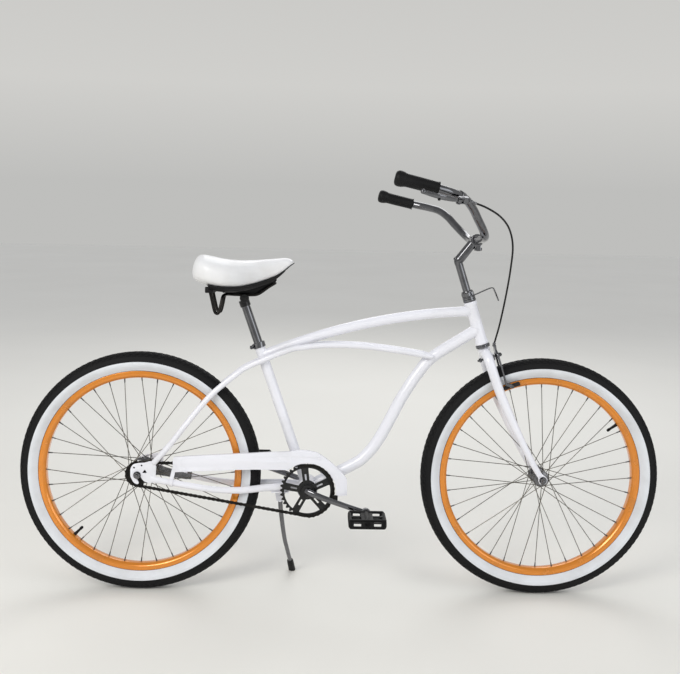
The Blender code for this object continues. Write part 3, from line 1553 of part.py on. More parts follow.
def saddle_cover():
    """The padded top: crowned across, with full sides and a flat underside."""
    level = rail_level()
    around = 14
    verts = []
    for x, top, under, wide in saddle_stations():
        waist = under + (top - under) * 0.42
        for k in range(around):
            turn = 2 * math.pi * k / around
            c, s = math.cos(turn), math.sin(turn)
            if s >= 0:
                across = math.copysign(abs(c) ** 0.75, c)
                height = waist + (top - waist) * abs(s) ** 0.80
            else:
                across = math.copysign(abs(c) ** 0.45, c)
                height = waist - (waist - under) * min(1.0, abs(s) ** 0.50 * 1.08)
            verts.append(level + Vector((x, across * wide, height)))
    rows = len(saddle_stations())
    faces = []
    for i in range(rows - 1):
        for k in range(around):
            a, b = i * around + k, i * around + (k + 1) % around
            faces.append((a, b, b + around, a + around))
    faces.append(tuple(range(around)))
    faces.append(tuple(range((rows - 1) * around, rows * around)))
    return turned(solid(verts, faces))


def saddle_base():
    """The stiff shell under the padding, with a keel down to the wire and blocks that hold its ends."""
    level = rail_level()
    verts = []
    rows = saddle_stations()[4:-3]
    for x, _, under, wide in rows:
        for out, height in ((-0.86, -0.0004), (-0.74, -0.0105), (0.74, -0.0105), (0.86, -0.0004)):
            verts.append(level + Vector((x, out * wide, under + height)))
    faces = []
    for i in range(len(rows) - 1):
        for k in range(4):
            a, b = i * 4 + k, i * 4 + (k + 1) % 4
            faces.append((a, b, b + 4, a + 4))
    faces.append((0, 1, 2, 3))
    last = (len(rows) - 1) * 4
    faces.append((last, last + 1, last + 2, last + 3))
    shell = solid(verts, faces)
    blocks = []
    for way in (-1, 1):
        low = level + Vector((-0.1035, way * 0.0830 - 0.010, 0.0040))
        blocks.append(box(low, low + Vector((0.022, 0.020, 0.0165))))
    outline = [
        (-0.060, 0.0042),
        (0.020, 0.0040),
        (0.040, 0.0060),
        (0.062, 0.0180),
        (0.084, 0.0300),
        (0.092, 0.0340),
        (0.092, 0.0500),
        (0.065, 0.0385),
        (0.038, 0.0290),
        (0.012, 0.0213),
        (-0.015, 0.0155),
        (-0.060, 0.0140),
    ]
    keel = plate([(level.x + x, level.z + z) for x, z in outline], -0.0162, 0.0162)
    body = joined(shell, *blocks, keel)
    half = [
        (0.084, 0.000, 0.0330),
        (0.080, 0.012, 0.0310),
        (0.066, 0.020, 0.0225),
        (0.040, RAIL_SPREAD, 0.0040),
    ]
    left = [level + Vector(point) for point in half]
    right = [Vector((point.x, -point.y, point.z)) for point in left[:0:-1]]
    cutters = [sweep(right + left, RAIL_RADIUS + 0.0010, sides=6, across=(1, 0, 0))]
    for way in (-1, 1):
        line = [(-0.0835, 0.0820, -0.0220), (-0.0885, 0.0825, 0.0), (-0.0920, 0.0830, 0.0156)]
        path = [level + Vector((x, way * y, z)) for x, y, z in line]
        cutters.append(sweep(path, RAIL_RADIUS + 0.0007, sides=8, across=(1, 0, 0)))
    return turned(cut(body, *cutters))


# Assembly


def ground_rise():
    """How far the frame is raised so that the leaning tyres just touch the ground."""
    flat = math.cos(math.pi / WHEEL_STEPS)
    heights = []
    for across, radius in tyre_profile():
        heights.append((TYRE_RADIUS - radius * flat) * math.cos(LEAN) - across * math.sin(LEAN))
    return -min(heights)


def add_frame(bicycle):
    bicycle.add("head_tube", head_tube(), "white_paint")
    bicycle.add("top_tube", top_tube(), "white_paint")
    bicycle.add("down_tube", down_tube(), "white_paint")
    bicycle.add("seat_tube", seat_tube(), "white_paint")
    bicycle.add("bottom_bracket_shell", bottom_bracket_shell(), "white_paint")
    for side, name in ((-1, "right"), (1, "left")):
        bicycle.add("long_stay_" + name, long_stay(side), "white_paint")
        bicycle.add("chainstay_" + name, chainstay(side), "white_paint")
        bicycle.add("crank_cup_" + name, crank_cup(side), "chrome")
    low, high = HEAD_TUBE_START, HEAD_TUBE_START + HEAD_TUBE_LENGTH
    bicycle.add("headset_cup_lower", headset_cup(low - GAP, low - 0.0095, 0.0200), "chrome")
    bicycle.add("headset_cup_upper", headset_cup(high + GAP, high + 0.0138, 0.0182), "chrome")
    bicycle.add("seat_clamp", seat_clamp(), "chrome")
    bicycle.add("chain_guard", chain_guard(), "white_paint")
    bicycle.add("guard_rear_bracket", guard_rear_bracket(), "white_paint")
    bicycle.add("guard_front_bracket", guard_front_bracket(), "white_paint")
    bicycle.add("kickstand_bracket", stand_bracket(), "dark_steel")
    bicycle.add("coaster_arm", coaster_arm(), "steel")
    bicycle.add("rear_axle", rear_axle_piece(), "chrome")
    bicycle.add("chain", chain(), "dark_steel")


def add_steering(bicycle):
    bicycle.add("fork", fork(), "white_paint", "steering")
    bicycle.add("headset_locknut", headset_locknut(), "chrome", "steering")
    bicycle.add("reflector_bracket", reflector_bracket(), "chrome", "steering")
    bicycle.add("stem", stem(), "chrome", "steering")
    bicycle.add("handlebar", handlebar(), "chrome", "steering")
    bicycle.add("grip_right", grip(-1), "grip_rubber", "steering")
    bicycle.add("grip_left", grip(1), "grip_rubber", "steering")
    bicycle.add("lever_clamp", lever_clamp(), "chrome", "steering")
    bicycle.add("brake_lever", brake_lever(), "chrome", "brake_lever")
    make_cable(bicycle)
    bicycle.add("caliper_bolt", caliper_bolt(), "chrome", "steering")
    for side, name in ((-1, "right"), (1, "left")):
        bicycle.add("caliper_arm_" + name, caliper_arm(side), "chrome", "caliper_" + name)
        bicycle.add("brake_pad_" + name, brake_pad(side), "brake_rubber", "caliper_" + name)
    bicycle.add("front_axle", front_axle_piece(), "chrome", "steering")


def add_wheels(bicycle):
    for name, axle, shell, angle in (
        ("front", front_axle(), front_hub(), math.radians(35)),
        ("rear", rear_axle(), rear_hub(), math.radians(225)),
    ):
        body = name + "_wheel"
        bicycle.add(name + "_hub", shell, "steel", body)
        bicycle.add(name + "_rim", rim(axle), "orange_paint", body)
        bicycle.add(name + "_tyre", tyre(axle), "tyre_rubber", body)
        bicycle.add(name + "_valve", valve(axle, angle), "black_plastic", body)
    bicycle.add("rear_sprocket", rear_sprocket(), "steel", "rear_driver")


def add_drive(bicycle):
    bicycle.add("crank", crank(), "chrome", "crank")
    bicycle.add("chainring", chainring(), "black_paint", "crank")
    for side, name in ((-1, "right"), (1, "left")):
        bicycle.add("pedal_spindle_" + name, pedal_spindle(side), "steel", "crank")
        bicycle.add("pedal_" + name, pedal(side), "black_plastic", "pedal_" + name)
    bicycle.add("kickstand_leg", kickstand_leg(), "steel", "kickstand")
    bicycle.add("kickstand_foot", kickstand_foot(), "black_plastic", "kickstand")


def add_saddle(bicycle):
    bicycle.add("seatpost", seatpost(), "chrome", "seat")
    bicycle.add("saddle_clamp", saddle_clamp(), "steel", "seat")
    bicycle.add("saddle_rails", saddle_rails(), "dark_steel", "seat")
    bicycle.add("saddle_base", saddle_base(), "black_plastic", "seat")
    bicycle.add("saddle_cover", saddle_cover(), "saddle_cover", "seat")


def centre_on_origin(bicycle):
    """Puts the middle of the leaning bicycle's footprint box over the origin."""
    bpy.context.view_layer.update()
    graph = bpy.context.evaluated_depsgraph_get()
    low, high = [math.inf] * 2, [-math.inf] * 2
    for piece in bicycle.pieces:
        shown = piece.evaluated_get(graph)
        mesh = shown.to_mesh()
        for vert in mesh.vertices:
            place = shown.matrix_world @ vert.co
            for i in range(2):
                low[i] = min(low[i], place[i])
                high[i] = max(high[i], place[i])
        shown.to_mesh_clear()
    root = bicycle.empties["frame"]
    root.location.x -= (low[0] + high[0]) / 2
    root.location.y -= (low[1] + high[1]) / 2


def main():
    clear_scene()
    bicycle = Bicycle()
    add_frame(bicycle)
    add_steering(bicycle)
    add_wheels(bicycle)
    add_drive(bicycle)
    add_saddle(bicycle)
    bicycle.empties["frame"].location.z = ground_rise()
    centre_on_origin(bicycle)


main()
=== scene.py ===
# %% [markdown]
# # A beach cruiser, dressed for its portrait
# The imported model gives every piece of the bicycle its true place. This lesson hangs a finer piece on
# each of those places: round tubes, laced spokes, a chain of real links, chrome, paint and rubber.
# Nothing here moves a joint or changes a size; each new piece rides on the body that it belongs to.

import json
import math

import bmesh
import bpy
from mathutils import Matrix, Vector


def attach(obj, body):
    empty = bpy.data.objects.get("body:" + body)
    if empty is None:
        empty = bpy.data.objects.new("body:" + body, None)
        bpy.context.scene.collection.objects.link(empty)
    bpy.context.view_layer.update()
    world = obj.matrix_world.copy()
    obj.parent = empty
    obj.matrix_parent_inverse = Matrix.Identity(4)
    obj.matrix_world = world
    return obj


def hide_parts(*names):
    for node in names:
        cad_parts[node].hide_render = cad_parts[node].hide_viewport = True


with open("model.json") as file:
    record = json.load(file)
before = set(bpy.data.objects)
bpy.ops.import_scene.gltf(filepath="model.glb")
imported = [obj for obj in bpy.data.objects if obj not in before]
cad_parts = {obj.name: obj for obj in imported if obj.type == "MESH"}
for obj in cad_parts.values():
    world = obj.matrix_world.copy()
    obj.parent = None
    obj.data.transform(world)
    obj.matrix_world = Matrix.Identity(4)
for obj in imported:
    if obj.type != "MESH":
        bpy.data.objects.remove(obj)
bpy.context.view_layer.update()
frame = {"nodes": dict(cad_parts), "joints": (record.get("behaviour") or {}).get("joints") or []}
print("nodes to dress:", len(frame["nodes"]))

# %% [markdown]
# The driving sizes are those of the bicycle itself, in metres. A cruiser is drawn from its wheels: the
# axles give the wheelbase, and the bottom bracket, the seat tube and the steering axis follow from them.

# %% Driving sizes
WHEELBASE = 1.118
TYRE_RADIUS = 0.336
TYRE_HALF_WIDTH = 0.0275
RIM_RADIUS = 0.2815
RIM_DEPTH = 0.0195
RIM_HALF_WIDTH = 0.018
SPOKES = 36
CHAINSTAY_LENGTH = 0.4677
BRACKET_DROP = 0.04
SEAT_ANGLE = math.radians(70.5)
HEAD_ANGLE = math.radians(72.0)
FORK_OFFSET = 0.048
SEAT_TUBE_LENGTH = 0.4286
HEAD_TUBE_START = TYRE_RADIUS + 0.0707
HEAD_TUBE_LENGTH = 0.1231
HEAD_TUBE_RADIUS = 0.0165
TOP_TUBE_RADIUS = 0.014
DOWN_TUBE_RADIUS = 0.0165
SEAT_TUBE_RADIUS = 0.0143
STAY_RADIUS = 0.008
DROPOUT_INNER = 0.056
DROPOUT_THICKNESS = 0.005
SHELL_RADIUS = 0.0285
SHELL_HALF_LENGTH = 0.034
CRANK_LENGTH = 0.17
CRANK_ANGLE = math.radians(-18.0)
CHAIN_PITCH = 0.0127
CHAINRING_TEETH = 36
SPROCKET_TEETH = 16
CHAIN_LINE = 0.045
GUARD_PLANE = 0.0625
STEM_HEIGHT = HEAD_TUBE_START + HEAD_TUBE_LENGTH + 0.1102
BRAKE_HEIGHT = HEAD_TUBE_START - 0.0427
PAD_HEIGHT = RIM_RADIUS - 0.0077
BAR_RADIUS = 0.011
POST_RADIUS = 0.0123
POST_TOP = 0.548
RAIL_RADIUS = 0.0042
RAIL_SPREAD = 0.022
SADDLE_HALF_WIDTH = 0.122
SADDLE_TURN = math.radians(4.0)
LEAN = math.radians(4.5)

# %% [markdown]
# Landmarks turn those sizes into points of an upright bicycle: X forward, Y to the rider's left, Z up,
# with the ground at zero. `steer` measures up the steering axis and ahead of it, `seat_line` up the seat
# tube, and `crank_point` out along a crank. Working in these lines keeps every tube tied to its joint.


# %% Landmarks
def rear_axle():
    return Vector((-WHEELBASE / 2, 0.0, TYRE_RADIUS))


def front_axle():
    return Vector((WHEELBASE / 2, 0.0, TYRE_RADIUS))


def bracket_centre():
    reach = math.sqrt(CHAINSTAY_LENGTH**2 - BRACKET_DROP**2)
    return rear_axle() + Vector((reach, 0.0, -BRACKET_DROP))


STEER_UP = Vector((-math.cos(HEAD_ANGLE), 0.0, math.sin(HEAD_ANGLE)))
STEER_AHEAD = Vector((math.sin(HEAD_ANGLE), 0.0, math.cos(HEAD_ANGLE)))
SEAT_UP = Vector((-math.cos(SEAT_ANGLE), 0.0, math.sin(SEAT_ANGLE)))
LEFT = Vector((0.0, 1.0, 0.0))
SIDES = ((-1, "right"), (1, "left"))


def steer(height, forward=0.0, side=0.0):
    foot = front_axle() - STEER_AHEAD * FORK_OFFSET
    return foot + STEER_UP * height + STEER_AHEAD * forward + LEFT * side


def seat_line(distance):
    return bracket_centre() + SEAT_UP * distance


def pitch_radius(teeth):
    return CHAIN_PITCH / (2 * math.sin(math.pi / teeth))


def ray(angle):
    """A step of one metre in the bicycle's own plane, at an angle up from straight ahead."""
    return Vector((math.cos(angle), 0.0, math.sin(angle)))


def crank_point(reach, side):
    turn = CRANK_ANGLE if side < 0 else CRANK_ANGLE + math.pi
    return bracket_centre() + ray(turn) * reach


def joint_place(name):
    return Vector(next(joint["pos_m"] for joint in frame["joints"] if joint["name"] == name))


lean_turn = Matrix.Rotation(-LEAN, 4, "X")
STAND = Matrix.Translation(joint_place("crank_spin") - lean_turn @ bracket_centre()) @ lean_turn
print("front axle in the frame:", tuple(round(v, 4) for v in STAND @ front_axle()))

# %% [markdown]
# The camera comes first, because everything is compared through it. It stands where the photographer
# stood, about 2.6 m out on the drive side and level with the saddle's top, and it is tied to the bicycle,
# so its place is written on the upright bicycle and then leans with it.


# %% Camera
FOCAL_PIXELS = 940.0
PHOTO_WIDTH = 680.0
SENSOR_WIDTH = 36.0
CAMERA_PLACE = Vector((-0.06529, -2.604, 0.9331))
CAMERA_YAW, CAMERA_PITCH, CAMERA_ROLL = (math.radians(a) for a in (1.224, 4.67, 1.132))


def make_camera():
    data = bpy.data.cameras.new("photographer")
    data.sensor_width = SENSOR_WIDTH
    data.lens = SENSOR_WIDTH * FOCAL_PIXELS / PHOTO_WIDTH
    camera = bpy.data.objects.new("photographer", data)
    bpy.context.scene.collection.objects.link(camera)
    upright = Matrix(((1, 0, 0), (0, 0, -1), (0, 1, 0)))
    seen = Matrix.Rotation(CAMERA_ROLL, 3, "Z") @ Matrix.Rotation(CAMERA_PITCH, 3, "X") @ upright
    seen = seen @ Matrix.Rotation(CAMERA_YAW, 3, "Z")
    axes = Matrix((seen[0], -seen[1], -seen[2])).transposed().to_4x4()
    camera.matrix_world = STAND @ Matrix.Translation(CAMERA_PLACE) @ axes
    bpy.context.scene.camera = camera
    return camera


camera = make_camera()
print("camera height:", round(camera.matrix_world.translation.z, 3))

# %% [markdown]
# Bent tubes are drawn through a few chosen points. A Catmull-Rom curve passes through each of them and
# rounds the way between, much as a tube bender does, so a handful of points is enough for any tube here.


# %% Curves
def smooth(points, parts=6):
    points = [Vector(point) for point in points]
    padded = [points[0] * 2 - points[1], *points, points[-1] * 2 - points[-2]]
    curve = []
    for i in range(1, len(padded) - 2):
        before, start, end, after = padded[i - 1 : i + 3]
        for step in range(parts):
            t = step / parts
            line = 2 * start + (end - before) * t
            bend = (2 * before - 5 * start + 4 * end - after) * t**2
            curve.append(0.5 * (line + bend + (3 * start - before - 3 * end + after) * t**3))
    return [*curve, points[-1]]


def between(values, parts=6):
    return [point.x for point in smooth([(value, 0, 0) for value in values], parts)]


def arched(start, end, shape):
    line = end - start
    off = Vector((line.z, 0.0, -line.x))
    return [start + line * along + off * aside for along, aside in shape]


def arc(centre, radius, count, start=0.0, end=2 * math.pi, closed=True):
    steps = count if closed else count - 1
    angles = [start + (end - start) * k / steps for k in range(count)]
    return [(centre[0] + radius * math.cos(a), centre[1] + radius * math.sin(a)) for a in angles]


def rounded(points, radius, steps=3):
    """The flat outline with each corner replaced by a small curve."""
    result = []
    for i, point in enumerate(points):
        here, before, after = Vector(point), Vector(points[i - 1]), Vector(points[(i + 1) % len(points)])
        back, ahead = before - here, after - here
        first = here + back * min(radius / max(back.length, 1e-9), 0.45)
        last = here + ahead * min(radius / max(ahead.length, 1e-9), 0.45)
        for step in range(steps + 1):
            t = step / steps
            result.append(tuple(first * (1 - t) ** 2 + here * 2 * t * (1 - t) + last * t**2))
    return result


print("points on a bend of four:", len(smooth([(0, 0, 0), (1, 0, 0), (1, 0, 1), (2, 0, 1)])))

# %% [markdown]
# Three ways of making metal cover nearly the whole bicycle. A sweep pushes a round or squarish section
# along a path, as tubes and forgings are drawn. A lathe turns a profile round an axis, as hubs and nuts
# are cut. A plate is a stamped outline with holes and softly broken edges; a filled 2D curve with an
# inward bevel makes it in one go, holes and all.


# %% Mesh makers
def faced_outward(mesh, merge=0.0):
    """The mesh with its faces turned outwards, after points closer than merge have become one."""
    shape = bmesh.new()
    shape.from_mesh(mesh)
    if merge:
        bmesh.ops.remove_doubles(shape, verts=shape.verts, dist=merge)
    bmesh.ops.recalc_face_normals(shape, faces=shape.faces)
    shape.to_mesh(mesh)
    shape.free()
    return mesh


def closed_mesh(verts, faces):
    mesh = bpy.data.meshes.new("piece")
    mesh.from_pydata([tuple(vert) for vert in verts], [], faces)
    return faced_outward(mesh)


def sweep(path, widths, heights=None, sides=24, across=(0, 1, 0), square=1.0, loop=False, first_ring=None):
    """A section pushed along a path. Widths are half sizes across it; square under 1 makes it boxy."""
    count = len(path)
    path = [Vector(point) for point in path]
    widths = list(widths) if hasattr(widths, "__len__") else [widths] * count
    heights = widths if heights is None else heights
    heights = list(heights) if hasattr(heights, "__len__") else [heights] * count
    side = Vector(across)
    verts = []
    for i, point in enumerate(path):
        if loop:
            ahead = path[(i + 1) % count] - path[i - 1]
        else:
            ahead = path[min(i + 1, count - 1)] - path[max(i - 1, 0)]
        ahead.normalize()
        side = (side - ahead * side.dot(ahead)).normalized()
        over = ahead.cross(side)
        for k in range(sides):
            turn = 2 * math.pi * (k + 0.5) / sides
            c, s = math.cos(turn), math.sin(turn)
            c, s = math.copysign(abs(c) ** square, c), math.copysign(abs(s) ** square, s)
            verts.append(point + side * widths[i] * c + over * heights[i] * s)
    if first_ring:
        verts[:sides] = first_ring(verts[:sides], path[1] - path[0])
    faces = []
    for i in range(count if loop else count - 1):
        for k in range(sides):
            a, b = i * sides + k, i * sides + (k + 1) % sides
            c, d = (b + sides) % (count * sides), (a + sides) % (count * sides)
            faces.append((a, b, c, d))
    if not loop:
        faces.append(tuple(range(sides)))
        faces.append(tuple(range((count - 1) * sides, count * sides)))
    return closed_mesh(verts, faces)


def lathe(centre, profile, steps=64, axis=(0, 1, 0), ring=False):
    axis = Vector(axis).normalized()
    first = Vector((0, 0, -1)) if abs(axis.z) < 0.9 else Vector((1, 0, 0))
    first = (first - axis * first.dot(axis)).normalized()
    second = axis.cross(first)
    size = len(profile)
    verts = []
    for k in range(steps):
        angle = 2 * math.pi * k / steps
        out = first * math.cos(angle) + second * math.sin(angle)
        verts += [Vector(centre) + axis * along + out * radius for along, radius in profile]
    faces = []
    for k in range(steps):
        near, far = k * size, (k + 1) % steps * size
        for j in range(size if ring else size - 1):
            following = (j + 1) % size
            faces.append((near + j, near + following, far + following, far + j))
    if not ring:
        faces.append(tuple(k * size for k in range(steps)))
        faces.append(tuple(k * size + size - 1 for k in range(steps)))
    return closed_mesh(verts, faces)


def rod(start, end, radius, sides=16, edge=0.0004):
    start, end = Vector(start), Vector(end)
    length = (end - start).length
    edge = min(edge, radius / 3, length / 3)
    profile = [(0.0, radius - edge), (edge, radius), (length - edge, radius), (length, radius - edge)]
    return lathe(start, profile, sides, axis=end - start)


def plate(outline, low, high, holes=(), edge=0.0005):
    """A flat outline of (x, z) points made solid between two sideways positions, its edges broken."""
    low, high = sorted((low, high))
    data = bpy.data.curves.new("outline", "CURVE")
    data.dimensions = "2D"
    data.fill_mode = "BOTH"
    data.extrude = (high - low) / 2 - edge
    data.bevel_depth = edge
    data.bevel_resolution = 1
    data.offset = -edge
    for loop in (outline, *holes):
        spline = data.splines.new("POLY")
        spline.points.add(len(loop) - 1)
        for point, (x, z) in zip(spline.points, loop):
            point.co = (x, z, 0.0, 1.0)
        spline.use_cyclic_u = True
    holder = bpy.data.objects.new("outline", data)
    mesh = bpy.data.meshes.new_from_object(holder)
    bpy.data.objects.remove(holder)
    mesh.transform(Matrix.Translation((0, (low + high) / 2, 0)) @ Matrix.Rotation(math.pi / 2, 4, "X"))
    return faced_outward(mesh, 1e-6)


def together(*meshes):
    """Several shells kept as one mesh, as welded or pressed pieces are one part."""
    shape = bmesh.new()
    for mesh in meshes:
        shape.from_mesh(mesh)
        bpy.data.meshes.remove(mesh)
    joined = bpy.data.meshes.new("piece")
    shape.to_mesh(joined)
    shape.free()
    return joined


def mirrored(mesh):
    other = mesh.copy()
    other.transform(Matrix.Scale(-1.0, 4, (0, 1, 0)))
    other.flip_normals()
    return other


print("a rod has", len(rod((0, 0, 0), (0, 0, 1), 0.01).polygons), "faces")

# %% [markdown]
# Where two tubes meet, the end of one is cut to the curve of the other and a bead of weld runs round the
# join. The same sum gives both: each point of the tube's end slides along the tube until it is on the
# other one. That reads better than two tubes that merely pass through each other.


# %% Coped ends and weld beads
def onto_cylinder(points, direction, centre, axis, radius):
    """Each point moved along the direction until it lies on the cylinder."""
    axis = Vector(axis).normalized()
    direction = Vector(direction).normalized()
    flat = direction - axis * direction.dot(axis)
    landed = []
    for point in points:
        away = point - centre
        away = away - axis * away.dot(axis)
        a, b, c = flat.dot(flat), 2 * flat.dot(away), away.dot(away) - radius**2
        root = max(b * b - 4 * a * c, 0.0)
        landed.append(point + direction * (-b - math.sqrt(root)) / (2 * a))
    return landed


def coped(centre, axis, radius):
    """A rule for the first ring of a sweep: back onto the other tube's surface."""

    def ring(points, ahead):
        start = [point + ahead.normalized() * 3 * radius for point in points]
        return onto_cylinder(start, -ahead, centre, axis, radius)

    return ring


def weld_bead(start, ahead, tube_radius, centre, axis, radius):
    """The bead round a coped end: a small uneven roll of metal on the line where the tubes meet."""
    count, thickness, unevenness, wander = 40, 0.0016, 0.12, 2.4
    ahead = Vector(ahead).normalized()
    side = (LEFT - ahead * LEFT.dot(ahead)).normalized()
    over = ahead.cross(side)
    points = []
    for k in range(count):
        turn = 2 * math.pi * k / count
        out = side * math.cos(turn) + over * math.sin(turn)
        points.append(start + out * (tube_radius + thickness * 0.2) + ahead * 3 * radius)
    line = onto_cylinder(points, -ahead, centre, axis, radius + thickness * 0.2)
    sizes = [thickness * (1 + unevenness * math.sin(k * wander)) for k in range(count)]
    return sweep(line, sizes, sides=8, loop=True, across=ahead)


print("coped ends and beads ready")

# %% [markdown]
# Shader sums are easier to read as sums. `Value` wraps a socket so that `0.3 + 0.1 * grain` adds the
# Math nodes by itself. `Finish` starts a material on the Principled shader and gives one method, `node`,
# that adds any other node: its settings first, then the values or links of its sockets.


# %% Shader helpers
class Value:
    """A number that changes over a surface."""

    def __init__(self, finish, socket):
        self.finish = finish
        self.socket = socket

    def combine(self, operation, first, second):
        node = self.finish.tree.nodes.new("ShaderNodeMath")
        node.operation = operation
        for place, value in enumerate((first, second)):
            if isinstance(value, Value):
                self.finish.tree.links.new(value.socket, node.inputs[place])
            else:
                node.inputs[place].default_value = value
        return Value(self.finish, node.outputs[0])

    def __add__(self, other):
        return self.combine("ADD", self, other)

    def __radd__(self, other):
        return self.combine("ADD", other, self)

    def __sub__(self, other):
        return self.combine("SUBTRACT", self, other)

    def __rsub__(self, other):
        return self.combine("SUBTRACT", other, self)

    def __mul__(self, other):
        return self.combine("MULTIPLY", self, other)

    def __rmul__(self, other):
        return self.combine("MULTIPLY", other, self)


class Finish:
    """A material with a Principled shader."""

    def __init__(self, name, **constants):
        self.material = bpy.data.materials.new(name)
        self.material.use_nodes = True
        self.tree = self.material.node_tree
        self.shader = self.tree.nodes["Principled BSDF"]
        self.place = self.node("ShaderNodeTexCoord").outputs["Object"]
        for socket, value in constants.items():
            self.shader.inputs[socket.replace("_", " ")].default_value = value

    def node(self, kind, settings=None, sockets=None):
        node = self.tree.nodes.new(kind)
        for name, value in (settings or {}).items():
            if name == "stops":
                while len(node.color_ramp.elements) < len(value):
                    node.color_ramp.elements.new(0.5)
                for element, (position, colour) in zip(node.color_ramp.elements, value):
                    element.position = position
                    element.color = (*colour, 1.0)
            else:
                setattr(node, name, value)
        for name, value in (sockets or {}).items():
            if isinstance(value, Value):
                value = value.socket
            if isinstance(value, bpy.types.NodeSocket):
                self.tree.links.new(value, node.inputs[name])
            else:
                node.inputs[name].default_value = value
        return node

    def noise(self, scale, detail=4.0, roughness=0.55):
        sockets = {"Vector": self.place, "Scale": scale, "Detail": detail, "Roughness": roughness}
        return Value(self, self.node("ShaderNodeTexNoise", None, sockets).outputs["Fac"])

    def spots(self, scale):
        sockets = {"Vector": self.place, "Scale": scale}
        return Value(self, self.node("ShaderNodeTexVoronoi", None, sockets).outputs["Distance"])

    def mask(self, value, low, high):
        """Zero below low, one above high."""
        sockets = {"Value": value, "From Min": low, "From Max": high}
        return Value(self, self.node("ShaderNodeMapRange", {"clamp": True}, sockets).outputs["Result"])

    def mix(self, factor, first, second):
        """A colour between two: each is a triple or the output of an earlier mix."""
        node = self.node("ShaderNodeMix", {"data_type": "RGBA"}, {0: factor})
        for place, colour in ((6, first), (7, second)):
            if isinstance(colour, bpy.types.NodeSocket):
                self.tree.links.new(colour, node.inputs[place])
            else:
                node.inputs[place].default_value = (*colour, 1.0)
        return node.outputs[2]

    def feed(self, socket, value):
        value = value.socket if isinstance(value, Value) else value
        self.tree.links.new(value, self.shader.inputs[socket])

    def bump(self, height, strength, distance):
        sockets = {"Height": height, "Strength": strength, "Distance": distance}
        self.feed("Normal", self.node("ShaderNodeBump", None, sockets).outputs["Normal"])


print("shader helpers ready")

# %% [markdown]
# Frame paint is a glossy white with a thin clear layer. Up close it has the faint ripple that painters
# call orange peel, and a used bicycle gathers a little grey dust, so the white and its shine both vary.


# %% White frame paint
def white_paint():
    paint = Finish("white_paint", Coat_Weight=0.5, Coat_Roughness=0.06)
    dust = paint.mask(paint.noise(9.0, 6.0), 0.5, 0.78)
    specks = 1 - paint.mask(paint.spots(260.0), 0.02, 0.07)
    clean = paint.mix(dust, (0.8, 0.8, 0.845), (0.7, 0.7, 0.725))
    paint.feed("Base Color", paint.mix(specks * 0.25, clean, (0.42, 0.4, 0.37)))
    paint.feed("Roughness", 0.2 + 0.22 * dust + 0.05 * paint.noise(60.0))
    paint.bump(paint.noise(420.0, 2.0), 0.05, 0.0004)
    return paint.material


WHITE = white_paint()
print(WHITE.name)

# %% [markdown]
# The rims are a warm orange: an anodised colour over metal, so it is partly metallic and keeps bright,
# narrow highlights. Braking and road dirt dull it in patches.


# %% Orange rims
def orange_rim():
    rim = Finish("orange_rim", Metallic=0.35, Coat_Weight=0.7, Coat_Roughness=0.05)
    dirt = rim.mask(rim.noise(26.0, 6.0), 0.52, 0.8)
    deep = rim.mix(rim.noise(4.0, 2.0), (0.8, 0.27, 0.018), (0.66, 0.215, 0.016))
    rim.feed("Base Color", rim.mix(dirt * 0.45, deep, (0.26, 0.12, 0.04)))
    rim.feed("Roughness", 0.2 + 0.25 * dirt)
    rim.bump(rim.noise(350.0, 2.0), 0.04, 0.0003)
    return rim.material


ORANGE = orange_rim()
print(ORANGE.name)

# %% [markdown]
# Chrome is nearly a mirror, so almost all of its look comes from what is round it. What the shader adds is
# wear: finger marks that blur it in patches and small dull pits where moisture got under the plating.
# Plain steel and the oiled chain use the same recipe with duller numbers, so one function makes them all.
# The colours are darker than clean metal, because the room built here is paler than a real one: they hold a
# painted dark reflection, in place of the darker room that real metal would mirror.


# %% Bare metals
def bare_metal(name, colour, dull, shine, marks, pit_colour):
    metal = Finish(name, Metallic=1.0)
    smear = metal.mask(metal.noise(34.0, 6.0), 0.46, 0.8)
    pits = 1 - metal.mask(metal.spots(330.0), 0.03, 0.1)
    worn = metal.mix(smear, colour, dull)
    metal.feed("Base Color", metal.mix(pits * marks, worn, pit_colour))
    metal.feed("Roughness", shine + marks * 0.5 * smear + 0.2 * pits)
    metal.bump(metal.noise(500.0, 3.0), 0.01, 0.0002)
    return metal.material


# These colours hold a painted dark reflection as well as each metal's own tone.
METALS = {
    "chrome": ((0.165, 0.167, 0.178), (0.105, 0.106, 0.113), 0.07, 0.14, (0.07, 0.068, 0.066)),
    "steel": ((0.19, 0.19, 0.2), (0.13, 0.13, 0.135), 0.24, 0.26, (0.08, 0.076, 0.07)),
    "oiled_steel": ((0.022, 0.021, 0.02), (0.04, 0.037, 0.034), 0.38, 0.36, (0.034, 0.027, 0.022)),
    "bolt_steel": ((0.1, 0.1, 0.105), (0.065, 0.065, 0.065), 0.28, 0.3, (0.07, 0.055, 0.045)),
    "spoke_wire": ((0.165, 0.155, 0.135), (0.105, 0.098, 0.085), 0.3, 0.3, (0.06, 0.052, 0.042)),
}
CHROME, STEEL, OILED, BOLTS, SPOKE = (bare_metal(name, *look) for name, look in METALS.items())
print("metals:", list(METALS))

# %% [markdown]
# Tyre rubber is never quite black: it greys with road dust in patches. The white side band is the same
# rubber, dyed, with grey scuffs. Grips, cable housing and pedals are smoother black mouldings.


# %% Rubber and plastic
def rubber(name, colour, dusty, shine, grain, scuff=0.6):
    skin = Finish(name, Specular_IOR_Level=0.22)
    dust = skin.mask(skin.noise(14.0, 7.0), 0.44, 0.8)
    fine = skin.noise(grain, 3.0)
    skin.feed("Base Color", skin.mix(dust * scuff, colour, dusty))
    skin.feed("Roughness", shine + 0.15 * dust + 0.08 * fine)
    skin.bump(fine, 0.15, 0.0005)
    return skin.material


